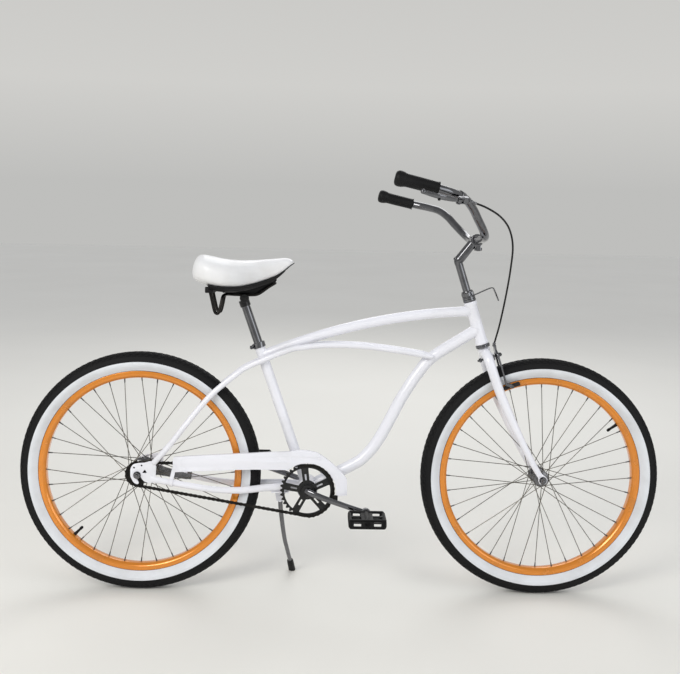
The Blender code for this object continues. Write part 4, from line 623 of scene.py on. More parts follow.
TYRE = rubber("tyre_rubber", (0.0045, 0.0045, 0.0052), (0.014, 0.0135, 0.013), 0.6, 500.0)
WHITEWALL = rubber("whitewall_rubber", (0.7, 0.72, 0.745), (0.54, 0.54, 0.54), 0.5, 420.0, 0.7)
GRIP = rubber("grip_rubber", (0.004, 0.004, 0.0045), (0.011, 0.0108, 0.0105), 0.46, 700.0)
PLASTIC = rubber("black_plastic", (0.005, 0.005, 0.0055), (0.013, 0.0125, 0.012), 0.4, 900.0)
BRAKE = rubber("brake_rubber", (0.02, 0.019, 0.019), (0.05, 0.047, 0.044), 0.75, 600.0)
print(TYRE.name, WHITEWALL.name)

# %% [markdown]
# The crank's collar, the chainring and the saddle clamp wear a black paint that is rubbed a little dull. The
# saddle's cover is off-white vinyl: a fine pebbled grain, which Voronoi cells give, and a slight gloss.


# %% Black paint and saddle vinyl
def black_paint():
    paint = Finish("black_paint", Coat_Weight=0.2, Coat_Roughness=0.15, Specular_IOR_Level=0.3)
    worn = paint.mask(paint.noise(40.0, 6.0), 0.55, 0.8)
    paint.feed("Base Color", paint.mix(worn, (0.006, 0.006, 0.0065), (0.02, 0.019, 0.018)))
    paint.feed("Roughness", 0.3 + 0.25 * worn)
    paint.bump(paint.noise(480.0), 0.05, 0.0003)
    return paint.material


def saddle_vinyl():
    vinyl = Finish("saddle_vinyl", Coat_Weight=0.15, Coat_Roughness=0.25)
    wear = vinyl.mask(vinyl.noise(12.0, 5.0), 0.5, 0.8)
    vinyl.feed("Base Color", vinyl.mix(wear, (0.76, 0.76, 0.76), (0.68, 0.67, 0.66)))
    vinyl.feed("Roughness", 0.4 + 0.16 * wear)
    vinyl.bump(vinyl.spots(620.0), 0.22, 0.0004)
    return vinyl.material


BLACK = black_paint()
VINYL = saddle_vinyl()
print(BLACK.name, VINYL.name)

# %% [markdown]
# Each finished mesh is put through one door. `show` leans it onto the stand with the rest of the bicycle,
# smooths it but keeps its sharp edges, ties it to its body and hides the CAD nodes it stands for.


# %% Placing pieces
shown = []


def show(name, mesh, body, finish, stands_for=(), crease=38.0):
    mesh.name = name
    mesh.transform(STAND)
    mesh.materials.clear()
    mesh.materials.append(finish)
    mesh.polygons.foreach_set("use_smooth", [True] * len(mesh.polygons))
    mesh.set_sharp_from_angle(angle=math.radians(crease))
    piece = bpy.data.objects.new(name, mesh)
    bpy.context.scene.collection.objects.link(piece)
    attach(piece, body)
    if stands_for:
        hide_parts(*stands_for)
    shown.append(name)
    return piece


def keep_node(name, finish, edge=0.0005):
    """A CAD node whose shape is right stays, with its edges broken and its own finish."""
    node = frame["nodes"][name]
    node.data.materials.clear()
    node.data.materials.append(finish)
    weld = node.modifiers.new("weld", "WELD")
    weld.merge_threshold = 0.00002
    bevel = node.modifiers.new("edge", "BEVEL")
    bevel.width = edge
    bevel.segments = 2
    bevel.limit_method = "ANGLE"
    bevel.angle_limit = math.radians(35)
    node.modifiers.new("shading", "WEIGHTED_NORMAL")


print("pieces so far:", len(shown))

# %% [markdown]
# A 26 inch cruiser tyre is a fat rubber ring: a black carcass, a white band from the rim to just past the
# widest line, and rows of blocks that wrap over the crown. The carcass is a lathe from one smooth half
# section, and the blocks are placed by a loop, each standing on the carcass and tilted to its curve.


# %% Tyres
TREAD_BLOCKS = 118
TREAD_TALL = 0.0014
BLOCK_LONG = 0.0112
TREAD_ROWS = ((1, 0.0068), (4, 0.0068), (7, 0.0062), (9, 0.0052))  # points down from the crown, block width
TYRE_STEPS = 160


def tyre_half():
    """Half the outside of the tyre, from the bead to the crown, as (across, radius) points."""
    wide = TYRE_HALF_WIDTH
    line = [
        (wide - 0.0117, RIM_RADIUS - 0.0043),
        (wide - 0.0112, RIM_RADIUS + 0.0012),
        (wide - 0.0052, RIM_RADIUS + 0.009),
        (wide - 0.0008, RIM_RADIUS + 0.017),
        (wide, TYRE_RADIUS - 0.031),
        (wide - 0.001, TYRE_RADIUS - 0.0228),
        (wide - 0.0042, TYRE_RADIUS - 0.014),
        (wide - 0.0105, TYRE_RADIUS - 0.007),
        (wide - 0.0187, TYRE_RADIUS - 0.0036),
        (0.0, TYRE_RADIUS - 0.0026),
    ]
    curve = smooth([(across, radius, 0.0) for across, radius in line], 3)
    return [(point.x, point.y) for point in curve]


def carcass(axle):
    half = tyre_half()
    outside = half + [(-across, radius) for across, radius in half[-2::-1]]
    inside = []
    for across, radius in outside[::-3]:
        inside.append((across * 0.72, radius - 0.006 if radius > 0.3 else radius))
    return lathe(axle, outside + inside, TYRE_STEPS, ring=True)


def white_band(axle):
    lowest, widest = RIM_RADIUS + 0.0006, TYRE_RADIUS - 0.027
    side = [(across, radius) for across, radius in tyre_half() if lowest < radius < widest]
    rings = []
    for way in (-1, 1):
        skin = [(way * (across + 0.0005), radius) for across, radius in side]
        skin += [(way * (across - 0.0008), radius) for across, radius in side[::-1]]
        rings.append(lathe(axle, skin, TYRE_STEPS, ring=True))
    return together(*rings)


def tread_block(axle, turn, across, radius, slope, wide):
    around = Vector((-math.sin(turn), 0.0, math.cos(turn)))
    outward = ray(turn)
    normal = outward * math.cos(slope) + LEFT * math.sin(slope)
    beside = LEFT * math.cos(slope) - outward * math.sin(slope)
    foot = axle + outward * radius + LEFT * across
    corners = []
    for level, size in ((-0.0006, 1.0), (TREAD_TALL, 0.8)):
        for a, b in ((-1, -1), (1, -1), (1, 1), (-1, 1)):
            corner = around * a * BLOCK_LONG / 2 * size + beside * b * wide / 2 * size
            corners.append(foot + corner + normal * level)
    return corners


def tread(axle):
    half = tyre_half()
    walls = [(0, 1, 5, 4), (1, 2, 6, 5), (2, 3, 7, 6), (3, 0, 4, 7), (4, 5, 6, 7)]
    verts, faces = [], []
    for row, (down, wide) in enumerate(TREAD_ROWS):
        across, radius = half[-down]
        before = half[-down - 1]
        slope = math.atan2(radius - before[1], before[0] - across)
        for way in (-1, 1) if row else (1,):
            for k in range(TREAD_BLOCKS):
                turn = 2 * math.pi * (k + 0.5 * (row % 2)) / TREAD_BLOCKS
                start = len(verts)
                verts += tread_block(axle, turn, way * across, radius, way * slope, wide)
                faces += [tuple(start + corner for corner in wall) for wall in walls]
    mesh = bpy.data.meshes.new("tread")
    mesh.from_pydata([tuple(vert) for vert in verts], [], faces)
    return mesh


for end, axle in (("front", front_axle()), ("rear", rear_axle())):
    body = end + "_wheel"
    tyre = together(carcass(axle), tread(axle))
    show(end + "_tyre_carcass", tyre, body, TYRE, [end + "_tyre"], 30)
    show(end + "_white_band", white_band(axle), body, WHITEWALL)
print("tread blocks on each tyre:", TREAD_BLOCKS * (2 * len(TREAD_ROWS) - 1))

# %% [markdown]
# The rim is a rolled channel with soft shoulders. Its section is drawn once, its corners are rounded and
# the whole is turned on the lathe. The valve stands inside it as a tapered rubber stem with a ribbed cap.


# %% Rims and valves
def rim(axle):
    inner, wide = RIM_RADIUS - RIM_DEPTH, RIM_HALF_WIDTH
    section = [
        (-wide, RIM_RADIUS),
        (-wide, inner + 0.0075),
        (-wide * 0.6, inner),
        (wide * 0.6, inner),
        (wide, inner + 0.0075),
        (wide, RIM_RADIUS),
        (wide - 0.0018, RIM_RADIUS),
        (wide - 0.0018, inner + 0.0088),
        (-wide + 0.0018, inner + 0.0088),
        (-wide + 0.0018, RIM_RADIUS),
    ]
    return lathe(axle, rounded(section, 0.0035, steps=4), TYRE_STEPS, ring=True)


def valve(axle, angle):
    out = ray(angle)
    stem = [(0.0, 0.0052), (0.004, 0.0044), (0.014, 0.0037), (0.0215, 0.0033), (0.0222, 0.0042)]
    for k in range(6):
        stem += [(0.0226 + k * 0.0013, 0.0043), (0.0233 + k * 0.0013, 0.0038)]
    return lathe(axle + out * (RIM_RADIUS - RIM_DEPTH), stem + [(0.0312, 0.003)], 24, axis=-out)


for end, axle, angle in (("front", front_axle(), 35), ("rear", rear_axle(), 225)):
    body = end + "_wheel"
    show(end + "_rim_shell", rim(axle), body, ORANGE, [end + "_rim"])
    show(end + "_valve_stem", valve(axle, math.radians(angle)), body, GRIP, [end + "_valve"])
print("rim radius at the bead:", RIM_RADIUS)

# %% [markdown]
# Thirty-six spokes are laced three over: neighbours leave the flange in opposite directions and meet the
# rim side by side. Each is a thin wire with a bent head in the flange and a steel nipple at the rim, so a
# short path per spoke is enough. The hub shell is a lathe with rounded flanges.


# %% Hubs and spokes
SPOKE_LEAD = math.radians(64)
SPOKE_RADIUS = 0.00105
NIPPLE_LENGTH = 0.0125


def spoke_path(axle, flange, flange_radius, k, half_step):
    way = 1 if k % 2 else -1
    rim_angle = 2 * math.pi * (k + half_step) / (SPOKES // 2)
    hole = axle + ray(rim_angle + way * SPOKE_LEAD) * flange_radius + LEFT * flange
    seat = axle + ray(rim_angle) * (RIM_RADIUS - RIM_DEPTH + 0.001)
    seat += LEFT * math.copysign(0.004, flange)
    bend = hole + LEFT * way * 0.003
    ahead = (seat - bend).normalized()
    return [hole - LEFT * way * 0.0032, hole + LEFT * way * 0.0018, bend + ahead * 0.0022, seat]


def lacing(axle, flanges, flange_radius):
    nipple = [(0.0, 0.003), (0.0015, 0.0026), (0.0022, 0.0019), (0.0105, 0.0017), (NIPPLE_LENGTH, 0.0012)]
    spokes, nipples = [], []
    for index, flange in enumerate(flanges):
        for k in range(SPOKES // 2):
            path = spoke_path(axle, flange, flange_radius, k, 0.5 * index)
            spokes.append(sweep(path, SPOKE_RADIUS, sides=8, across=(0.3, 0.2, 1)))
            spokes.append(rod(path[0], path[0].lerp(path[1], 0.25), 0.0021, 10))
            nipples.append(lathe(path[3], nipple, 8, axis=(path[2] - path[3]).normalized()))
    return together(*spokes), together(*nipples)


def hub_shell(axle, half, barrel, flanges, flange_radius, end_radius):
    thick = 0.0017
    profile = [(-half, end_radius - 0.0015), (-half + 0.001, end_radius)]
    profile.append((flanges[0] - 0.003, barrel + 0.0008))
    rise = [(thick + 0.0012, barrel + 0.0012), (thick, flange_radius - 0.0012), (thick * 0.6, flange_radius)]
    for flange in flanges:
        profile += [(flange - across, radius) for across, radius in rise]
        profile += [(flange + across, radius) for across, radius in rise[::-1]]
        profile.append((flange + thick + 0.004, barrel))
    profile[-1] = (flanges[1] + 0.004, barrel)
    inside = [(half, 0.0097), (half - 0.006, 0.0097), (half - 0.006, 0.006)]
    profile += [(half - 0.001, end_radius), (half, end_radius - 0.0015), *inside]
    profile += [(-across, radius) for across, radius in inside[::-1]]
    return lathe(axle, profile, 72, ring=True)


hubs = {
    "front": (front_axle(), 0.04, 0.012, (-0.03, 0.03), 0.0235, 0.0118, 0.0208),
    "rear": (rear_axle(), 0.0378, 0.0195, (-0.0283, 0.0308), 0.0335, 0.0178, 0.03),
}
for end, (axle, half, barrel, flanges, flange_radius, end_radius, hole_radius) in hubs.items():
    body = end + "_wheel"
    shell = hub_shell(axle, half, barrel, flanges, flange_radius, end_radius)
    if end == "rear":
        shell.transform(Matrix.Translation((0, 0.0027, 0)))
    spokes, nipples = lacing(axle, flanges, hole_radius)
    show(end + "_hub_shell", shell, body, STEEL, [end + "_hub"])
    show(end + "_spokes", spokes, body, SPOKE)
    show(end + "_nipples", nipples, body, BOLTS)
print("spokes laced:", SPOKES * 2)

# %% [markdown]
# The frame is brazed and welded steel tube. The main tubes curve, so they are swept on smooth paths, and the
# end that starts at a wider tube is coped to it and gets a bead. The head tube is a lathe with swollen ends.


# %% Main tubes
def down_tube_path():
    start = steer(HEAD_TUBE_START + 0.36 * HEAD_TUBE_LENGTH)
    shape = [
        (0.0, 0.0),
        (0.059, 0.01121),
        (0.221, 0.04361),
        (0.311, 0.03685),
        (0.437, 0.00691),
        (0.523, -0.02257),
        (0.639, -0.06003),
        (0.728, -0.07216),
        (0.795, -0.06218),
        (1.0, 0.0),
    ]
    return arched(start, bracket_centre(), shape)


def top_tube_path():
    start = steer(HEAD_TUBE_START + 0.78 * HEAD_TUBE_LENGTH)
    end = seat_line(SEAT_TUBE_LENGTH - 0.0365)
    rise = 0.045
    shape = [(t, rise * 4 * t * (1 - t)) for t in (0.0, 0.08, 0.2, 0.35, 0.5, 0.65, 0.8, 0.92, 1.0)]
    return arched(start, end, shape)


def joined_tube(path, radius, meets):
    """A tube coped at its first end. What it meets there is given by a centre, an axis and a radius."""
    pipe = sweep(path, radius, sides=32, first_ring=coped(*meets))
    return together(pipe, weld_bead(path[0], path[1] - path[0], radius, *meets))


head_line = (steer(0.0), STEER_UP, HEAD_TUBE_RADIUS)
down_points = down_tube_path()
down_path = smooth(down_points, 6)
mesh = joined_tube(smooth(top_tube_path(), 6), TOP_TUBE_RADIUS, head_line)
show("top_tube_bent", mesh, "frame", WHITE, ["top_tube"])
mesh = joined_tube(down_path, DOWN_TUBE_RADIUS, head_line)
show("down_tube_bent", mesh, "frame", WHITE, ["down_tube"])
print("down tube length:", round(sum((b - a).length for a, b in zip(down_path, down_path[1:])), 3))


# %% Head tube, seat tube and bottom bracket shell
def head_tube():
    end, inner, plain, swollen = 0.012, 0.015, HEAD_TUBE_RADIUS, HEAD_TUBE_RADIUS + 0.0016
    low = [(0.0, inner), (0.0, swollen - 0.0008), (0.0008, swollen), (end - 0.003, swollen), (end, plain)]
    high = [(HEAD_TUBE_LENGTH - along, radius) for along, radius in low[::-1]]
    return lathe(steer(HEAD_TUBE_START), low + high, 56, axis=STEER_UP, ring=True)


def seat_tube():
    shell = (bracket_centre(), LEFT, SHELL_RADIUS)
    path = [seat_line(0.01), seat_line(0.2), seat_line(SEAT_TUBE_LENGTH)]
    bead = weld_bead(seat_line(0.0), SEAT_UP, SEAT_TUBE_RADIUS, *shell)
    return together(sweep(path, SEAT_TUBE_RADIUS, sides=40, first_ring=coped(*shell)), bead)


def bush(centre, start, end, inner, outer, edge, steps=56, axis=(0, 1, 0)):
    """A ring round an axis, with its four corners rounded."""
    section = rounded([(start, inner), (start, outer), (end, outer), (end, inner)], edge)
    return lathe(centre, section, steps, axis=axis, ring=True)


def bracket_shell():
    return bush(bracket_centre(), -SHELL_HALF_LENGTH, SHELL_HALF_LENGTH, 0.0258, SHELL_RADIUS, 0.0012, 64)


show("head_tube_shell", head_tube(), "frame", WHITE, ["head_tube"])
show("seat_tube_pipe", seat_tube(), "frame", WHITE, ["seat_tube"])
show("bracket_shell", bracket_shell(), "frame", WHITE, ["bottom_bracket_shell"])
print("seat tube length:", SEAT_TUBE_LENGTH)

# %% [markdown]
# Two long stays sweep from the rear dropouts, past the seat tube and under the top tube to the down tube:
# the twin line that makes a cruiser. The chainstays are flattened ovals that end in stamped dropouts with
# an open slot for the axle, two small eyelets and a three-cornered window.


# %% Stays and dropouts
STAY_MIDDLE = DROPOUT_INNER + DROPOUT_THICKNESS / 2


def spread(points, offsets, side):
    """The points set off sideways, each by its own distance."""
    for point, offset in zip(points, offsets):
        point.y = side * offset
    return points


def round_tube(centre, radius, axis):
    """A ring of points round a tube."""
    over = axis.cross(LEFT).normalized()
    turns = [k * math.pi / 12 for k in range(24)]
    return [centre + LEFT * radius * math.cos(turn) + over * radius * math.sin(turn) for turn in turns]


def long_stay(side):
    beside_seat = SEAT_TUBE_RADIUS + STAY_RADIUS + 0.0005
    beside_down = DOWN_TUBE_RADIUS + STAY_RADIUS + 0.0005
    start = rear_axle() + Vector((0.0451, 0.0, 0.0343))
    meeting = seat_line(SEAT_TUBE_LENGTH - 0.043)
    end = down_points[2] + Vector((-0.006, 0.0, 0.002))
    rear = [(0.0, 0.0), (0.14, -0.01), (0.36, -0.04), (0.58, -0.062), (0.78, -0.048), (0.9, -0.026)]
    front = [(0.15, -0.046), (0.24, -0.062), (0.37, -0.074), (0.57, -0.068), (0.76, -0.044), (0.91, -0.018)]
    points = arched(start, meeting, rear) + arched(meeting, end, [*front, (1.0, 0.0)])
    offsets = [STAY_MIDDLE, STAY_MIDDLE - 0.0005, 0.0505, 0.0425, 0.0335, 0.0265]
    offsets += [beside_seat] * 4 + [beside_seat + 0.001, beside_down, beside_down]
    path = smooth(spread(points, offsets, side), 6)
    tip = (path[-1] - path[-2]).normalized()
    tail = (path[0] - path[1]).normalized()
    path = [path[0] + tail * 0.004, *path, path[-1] + tip * 0.003, path[-1] + tip * 0.0045]
    taper = [1.0, 0.99, 0.97, 0.94, 0.9, 0.85, 0.8, 0.62, 0.3]
    shares = [0.55, *[1.0] * (len(path) - 1 - len(taper)), *taper]
    bead = sweep(round_tube(path[-6], STAY_RADIUS, tip), 0.0012, sides=6, loop=True, across=tip)
    return together(sweep(path, [STAY_RADIUS * share for share in shares], sides=24), bead)


def placed(centre, points):
    """Flat (x, z) points carried to a place on the bicycle."""
    return [(centre.x + x, centre.z + z) for x, z in points]


def dropout(side):
    axle = rear_axle()
    outline = [(0.0525, 0.0273), (0.0365, 0.0397), (0.021, 0.0345), (0.004, 0.0335), (-0.012, 0.0295)]
    outline += [(-0.0185, 0.018), (-0.0185, -0.004), (-0.01, -0.0205), (0.0, -0.0262)]
    outline += [(0.006, -0.0225), (-0.0052, -0.003), (-0.0058, 0.0016), (-0.003, 0.0052)]
    outline += [(0.0016, 0.0058), (0.0052, 0.003), (0.015, -0.0139), (0.024, -0.02)]
    outline += [(0.042, -0.022), (0.05, -0.012)]
    eyelets = placed(axle, [(-0.0085, 0.0205), (0.012, 0.0265)])
    window = placed(axle, [(0.0135, 0.006), (0.027, 0.006), (0.0215, 0.016)])
    holes = [*(arc(place, 0.0026, 16) for place in eyelets), rounded(window, 0.0022)]
    outline = rounded(placed(axle, outline), 0.0055, steps=4)
    return plate(outline, side * DROPOUT_INNER, side * (DROPOUT_INNER + DROPOUT_THICKNESS), holes, 0.0007)


def bent(points, widths, heights=None, parts=5, **section):
    """A sweep through a few points, with its sizes eased along the way."""
    heights = between(heights, parts) if heights else None
    return sweep(smooth(points, parts), between(widths, parts), heights, **section)


def chainstay(side):
    shape = [(0.076, 0.0075), (0.155, 0.0099), (0.285, 0.015), (0.447, 0.0209), (0.61, 0.018)]
    shape += [(0.74, 0.0079), (0.86, 0.0015), (0.945, 0.0)]
    points = [rear_axle().lerp(bracket_centre(), along) + Vector((0, 0, -drop)) for along, drop in shape]
    offsets = [STAY_MIDDLE, STAY_MIDDLE, 0.0572, 0.0515, 0.0415, 0.032, 0.0275, 0.0265]
    widths = [0.004, 0.0072, 0.008, 0.008, 0.008, 0.0072, 0.0066, 0.0064]
    heights = [0.0095, 0.0088, 0.0088, 0.009, 0.0095, 0.01, 0.0105, 0.0105]
    return together(bent(spread(points, offsets, side), widths, heights, sides=28), dropout(side))


for side, name in SIDES:
    show("twin_stay_" + name, long_stay(side), "frame", WHITE, ["long_stay_" + name])
    show("chainstay_tube_" + name, chainstay(side), "frame", WHITE, ["chainstay_" + name])
print("dropout thickness:", DROPOUT_THICKNESS)

# %% [markdown]
# The headset cups are turned parts, pressed into the head tube. A groove round each one is where the
# bearing race closes. The head of the bicycle is then a stack of rings, and all of them are lathe work. A
# washer in the stack carries a bent strip of steel. The seat clamp's solid is kept and only gets a finish.


# %% Headset
def headset_cup(low, high, flare):
    tall = high - low
    skirt = 0.01 if tall > 0 else -0.01
    gap = math.copysign(0.0003, skirt)
    profile = [(-skirt, 0.0143), (-gap, 0.0143), (0.0, flare - 0.0024), (tall * 0.1, flare - 0.0005)]
    profile += [(tall * 0.2, flare), (tall * 0.5, flare), (tall * 0.54, flare - 0.0009)]
    profile += [(tall * 0.6, flare - 0.0009), (tall * 0.64, flare - 0.0001), (tall * 0.93, flare - 0.0002)]
    profile += [(tall, flare - 0.001), (tall, 0.0134), (-skirt, 0.0134)]
    return lathe(steer(low), profile, 56, axis=STEER_UP, ring=True)


def locknut():
    start = steer(HEAD_TUBE_START + HEAD_TUBE_LENGTH + 0.0168)
    flats = [(0.0, 0.0136), (0.0, 0.0172), (0.0006, 0.0178), (0.0094, 0.0178), (0.01, 0.0172)]
    flats.append((0.01, 0.0136))
    crown = [(0.0098, 0.0136), (0.0098, 0.0163), (0.0125, 0.0163), (0.0145, 0.0152), (0.0145, 0.0136)]
    nut = lathe(start, flats, 8, axis=STEER_UP, ring=True)
    return together(nut, lathe(start, crown, 56, axis=STEER_UP, ring=True))


def reflector_strip():
    """A washer on the steerer with a bent strip of steel that would carry a front reflector."""
    start = HEAD_TUBE_START + HEAD_TUBE_LENGTH + 0.0141
    washer = bush(steer(start), 0.0, 0.0023, 0.0136, 0.0176, 0.0003, axis=STEER_UP)
    line = [(0.0011, 0.016), (0.002, 0.026), (0.0045, 0.045), (0.0062, 0.064), (0.0048, 0.0706)]
    line += [(-0.002, 0.0733), (-0.0345, 0.0765)]
    path = smooth([steer(start + up, ahead) for up, ahead in line], 5)
    strip = sweep(path, 0.0016, 0.0062, 4, across=STEER_UP, square=0.01)
    return together(washer, strip)


low, high = HEAD_TUBE_START, HEAD_TUBE_START + HEAD_TUBE_LENGTH
cup = headset_cup(low - 0.0003, low - 0.0095, 0.02)
show("cup_below", cup, "frame", CHROME, ["headset_cup_lower"])
cup = headset_cup(high + 0.0003, high + 0.0138, 0.0182)
show("cup_above", cup, "frame", CHROME, ["headset_cup_upper"])
show("locknut", locknut(), "steering", CHROME, ["headset_locknut"])
show("reflector_strip", reflector_strip(), "steering", CHROME, ["reflector_bracket"])
keep_node("seat_clamp", CHROME)
print("headset stack height:", round((high - low) * 1000), "mm")

# %% [markdown]
# The chain guard is one pressing: a flat skin 1.4 mm thick whose upper edge is turned in over the chain.
# The skin is a plate with a round bite for the chainring; the turned edge is a strip swept just under the
# same upper line, so the two always agree. A small black clip sits at its lower front end.


# %% Chain guard
GUARD_SKIN = 0.0014


def flat(point):
    return point.x, point.z


def guard_top():
    upper = [(0.1, 0.0515), (0.171, 0.0568), (0.28, 0.064), (0.363, 0.0688)]
    crown = [(-0.05, 0.1115), (-0.028, 0.1155), (-0.006, 0.1155), (0.014, 0.112), (0.03, 0.1075)]
    crown += [(0.067, 0.0813), (0.0964, 0.0525), (0.106, 0.041), (0.1095, 0.03), (0.11, -0.0075)]
    points = placed(rear_axle(), upper) + placed(bracket_centre(), crown)
    return smooth([(x, 0.0, z) for x, z in points], 3)


def chain_guard():
    axle, bracket = rear_axle(), bracket_centre()
    top = guard_top()
    bite = arc(flat(bracket), 0.08, 40, math.radians(-8), math.radians(131), False)
    lower = [(0.321, 0.0205), (0.281, 0.0194), (0.171, 0.0135), (0.1005, 0.01), (0.0975, 0.0135)]
    outline = [*map(flat, top), *bite, *placed(axle, [*lower, (0.0975, 0.047)])]
    screws = placed(axle, [(0.103, 0.023)]) + placed(bracket, [(0.032, 0.0945)])
    holes = [arc(place, 0.0032, 16) for place in screws]
    skin = plate(outline, -GUARD_PLANE, -GUARD_PLANE + GUARD_SKIN, holes, 0.0004)
    edge = []
    for i, point in enumerate(top):
        ahead = (top[min(i + 1, len(top) - 1)] - top[max(i - 1, 0)]).normalized()
        place = point + Vector((ahead.z, 0.0, -ahead.x)) * 0.0007
        edge.append(place + LEFT * (-GUARD_PLANE + 0.0064))
    lip = sweep(edge, 0.0061, 0.0007, 12, square=0.12)
    return together(skin, lip)


def guard_clip():
    corners = [(-0.0075, -0.008), (0.008, -0.008), (0.008, 0.0065), (-0.0075, 0.008)]
    outline = rounded(placed(bracket_centre() + Vector((0.0765, 0.0, -0.0145)), corners), 0.002)
    return plate(outline, -GUARD_PLANE - 0.005, -GUARD_PLANE + 0.0015, edge=0.0008)


show("chain_guard_skin", chain_guard(), "frame", WHITE, ["chain_guard"])
keep_node("guard_rear_bracket", WHITE)
keep_node("guard_front_bracket", WHITE, 0.0003)
show("guard_clip", guard_clip(), "frame", PLASTIC)
keep_node("kickstand_bracket", WHITE)
keep_node("coaster_arm", STEEL)
print("guard skin at", GUARD_PLANE, "m from the middle")

# %% [markdown]
# Both axles are threaded rods with flanged nuts. A thread can be shown as rings of the true pitch, since
# nobody sees whether it winds. The nut is a hexagon with a round flange, and its corners are broken.


# %% Axles
def threaded(start, end, radius, pitch=0.00125):
    start, end = Vector(start), Vector(end)
    length = (end - start).length
    count = int(length / pitch)
    profile = [(0.0, radius * 0.82)]
    for k in range(count):
        profile += [((k + 0.2) * length / count, radius), ((k + 0.7) * length / count, radius * 0.88)]
    profile.append((length, radius * 0.8))
    return lathe(start, profile, 24, axis=end - start)


NUT_RADIUS = 0.0092
NUT_TALL = 0.0085


def flange_nut(place, out):
    flange = [(0.0, NUT_RADIUS + 0.0008), (0.0004, NUT_RADIUS + 0.0014), (0.0018, NUT_RADIUS + 0.0006)]
    hexagon = rod(place + out * 0.0014, place + out * NUT_TALL, NUT_RADIUS, 6, 0.0006)
    return together(lathe(place, flange, 40, axis=out), hexagon)


def axle_set(axle, radius, reach, seat, cones):
    """The rod, its threads and its nuts. A cone is where it starts, how long it is and how wide."""
    inner = LEFT * (seat + 0.0075)
    shapes = [rod(axle - inner, axle + inner, radius, 24)]
    for side in (-1, 1):
        shapes.append(threaded(axle + inner * side, axle + LEFT * reach * side, radius))
        shapes.append(flange_nut(axle + LEFT * side * seat, LEFT * side))
    for start, length, wide in cones:
        profile = [(0.0, wide * 0.72), (0.0022, wide), (length - 0.0004, wide), (length, wide - 0.0004)]
        shapes.append(lathe(axle + LEFT * start, profile, 32, axis=LEFT * start))
    return together(*shapes)


cones = [(0.034, 0.0159, 0.0088), (-0.034, 0.0159, 0.0088)]
shapes = axle_set(front_axle(), 0.0045, 0.066, 0.0548, cones)
show("front_axle_set", shapes, "steering", CHROME, ["front_axle"])
cones = [(0.0456, 0.0101, 0.0088), (-0.0535, 0.0022, 0.0085)]
shapes = axle_set(rear_axle(), 0.0048, 0.0738, 0.0613, cones)
show("rear_axle_set", shapes, "frame", CHROME, ["rear_axle"])
print("axle lengths:", 2 * 0.066, 2 * 0.0738)

# %% [markdown]
# Toothed wheels next. A tooth is drawn by seven points: the two corners of its flat tip, its flanks and the
# round valley where a roller sits. The chainring keeps its five split arms, with rounded windows.


# %% Sprockets
TOOTH = [(-0.1, 0.0028), (0.1, 0.0028), (0.24, 0.0004), (0.36, -0.0026), (0.5, -0.0037), (0.64, -0.0026)]
TOOTH.append((0.76, 0.0004))
DISC_HALF = 0.0011
DRIVE_PIN = 0.0175


def toothed(centre, teeth):
    """The outline of a wheel: each tooth's points are (part of a step round, height off the pitch circle)."""
    points = []
    for k in range(teeth):
        for part, rise in TOOTH:
            turn = 2 * math.pi * (k + part) / teeth
            radius = pitch_radius(teeth) + rise
            points.append((centre[0] + radius * math.cos(turn), centre[1] + radius * math.sin(turn)))
    return points


def toothed_disc(centre, teeth, holes):
    return plate(toothed(centre, teeth), -CHAIN_LINE - DISC_HALF, -CHAIN_LINE + DISC_HALF, holes, 0.0004)


def chainring():
    centre = flat(bracket_centre())
    outer = pitch_radius(CHAINRING_TEETH) - 0.009
    holes = [arc(centre, 0.0104, 32)]
    for arm in range(5):
        middle = math.radians(115 + 72 * arm) + CRANK_ANGLE
        window = middle + math.radians(36)
        spread_out, spread_in = math.radians(27), math.radians(14)
        hole = arc(centre, outer, 12, window - spread_out, window + spread_out, False)
        hole += arc(centre, 0.025, 6, window + spread_in, window - spread_in, False)
        holes.append(rounded(hole, 0.003))
        slot = arc(centre, 0.0465, 4, middle - 0.05, middle + 0.05, False)
        slot += arc(centre, 0.029, 4, middle + 0.075, middle - 0.075, False)
        holes.append(rounded(slot, 0.0012))
    holes.append(arc(flat(crank_point(DRIVE_PIN, -1)), 0.0036, 16))
    rib = [(-CHAIN_LINE - 0.002, outer + 0.0016), (-CHAIN_LINE - 0.0009, outer + 0.0004)]
    rib.append((-CHAIN_LINE - 0.0009, outer + 0.0028))
    disc = toothed_disc(centre, CHAINRING_TEETH, holes)
    return together(disc, lathe(bracket_centre(), rib, 96, ring=True))


def rear_sprocket():
    centre = flat(rear_axle())
    disc = toothed_disc(centre, SPROCKET_TEETH, [arc(centre, 0.012, 32)])
    driver = [(-0.05, 0.01), (-0.0497, 0.0158), (-0.049, 0.0165), (-0.0468, 0.0165), (-0.0464, 0.0158)]
    driver += [(-0.0395, 0.0158), (-0.0368, 0.015), (-0.0368, 0.0052), (-0.05, 0.0052)]
    return together(disc, lathe(rear_axle(), driver, 56, ring=True))


show("chainring_plate", chainring(), "crank", BLACK, ["chainring"])
show("sprocket_and_driver", rear_sprocket(), "rear_driver", OILED, ["rear_sprocket"])
print("teeth:", CHAINRING_TEETH, SPROCKET_TEETH)

# %% [markdown]
# The chain is worth building link by link. Its pins sit in the valleys between the teeth where it wraps
# round a sprocket, and share out the straight runs evenly. Every other link is a wide one, and each link is
# two waisted plates; a pin and a roller stand at every joint.


# %% Chain
def wrapped_pins(centre, teeth, start, end):
    """Pins in the valleys of a sprocket, between two angles."""
    step = 2 * math.pi / teeth
    first = math.ceil(start / step - 0.5)
    last = math.floor(end / step - 0.5)
    radius = pitch_radius(teeth)
    angles = [(k + 0.5) * step for k in range(first, last + 1)]
    return [centre + ray(a) * radius for a in angles]


def straight_pins(start, end, count):
    return [start.lerp(end, k / count) for k in range(1, count)]


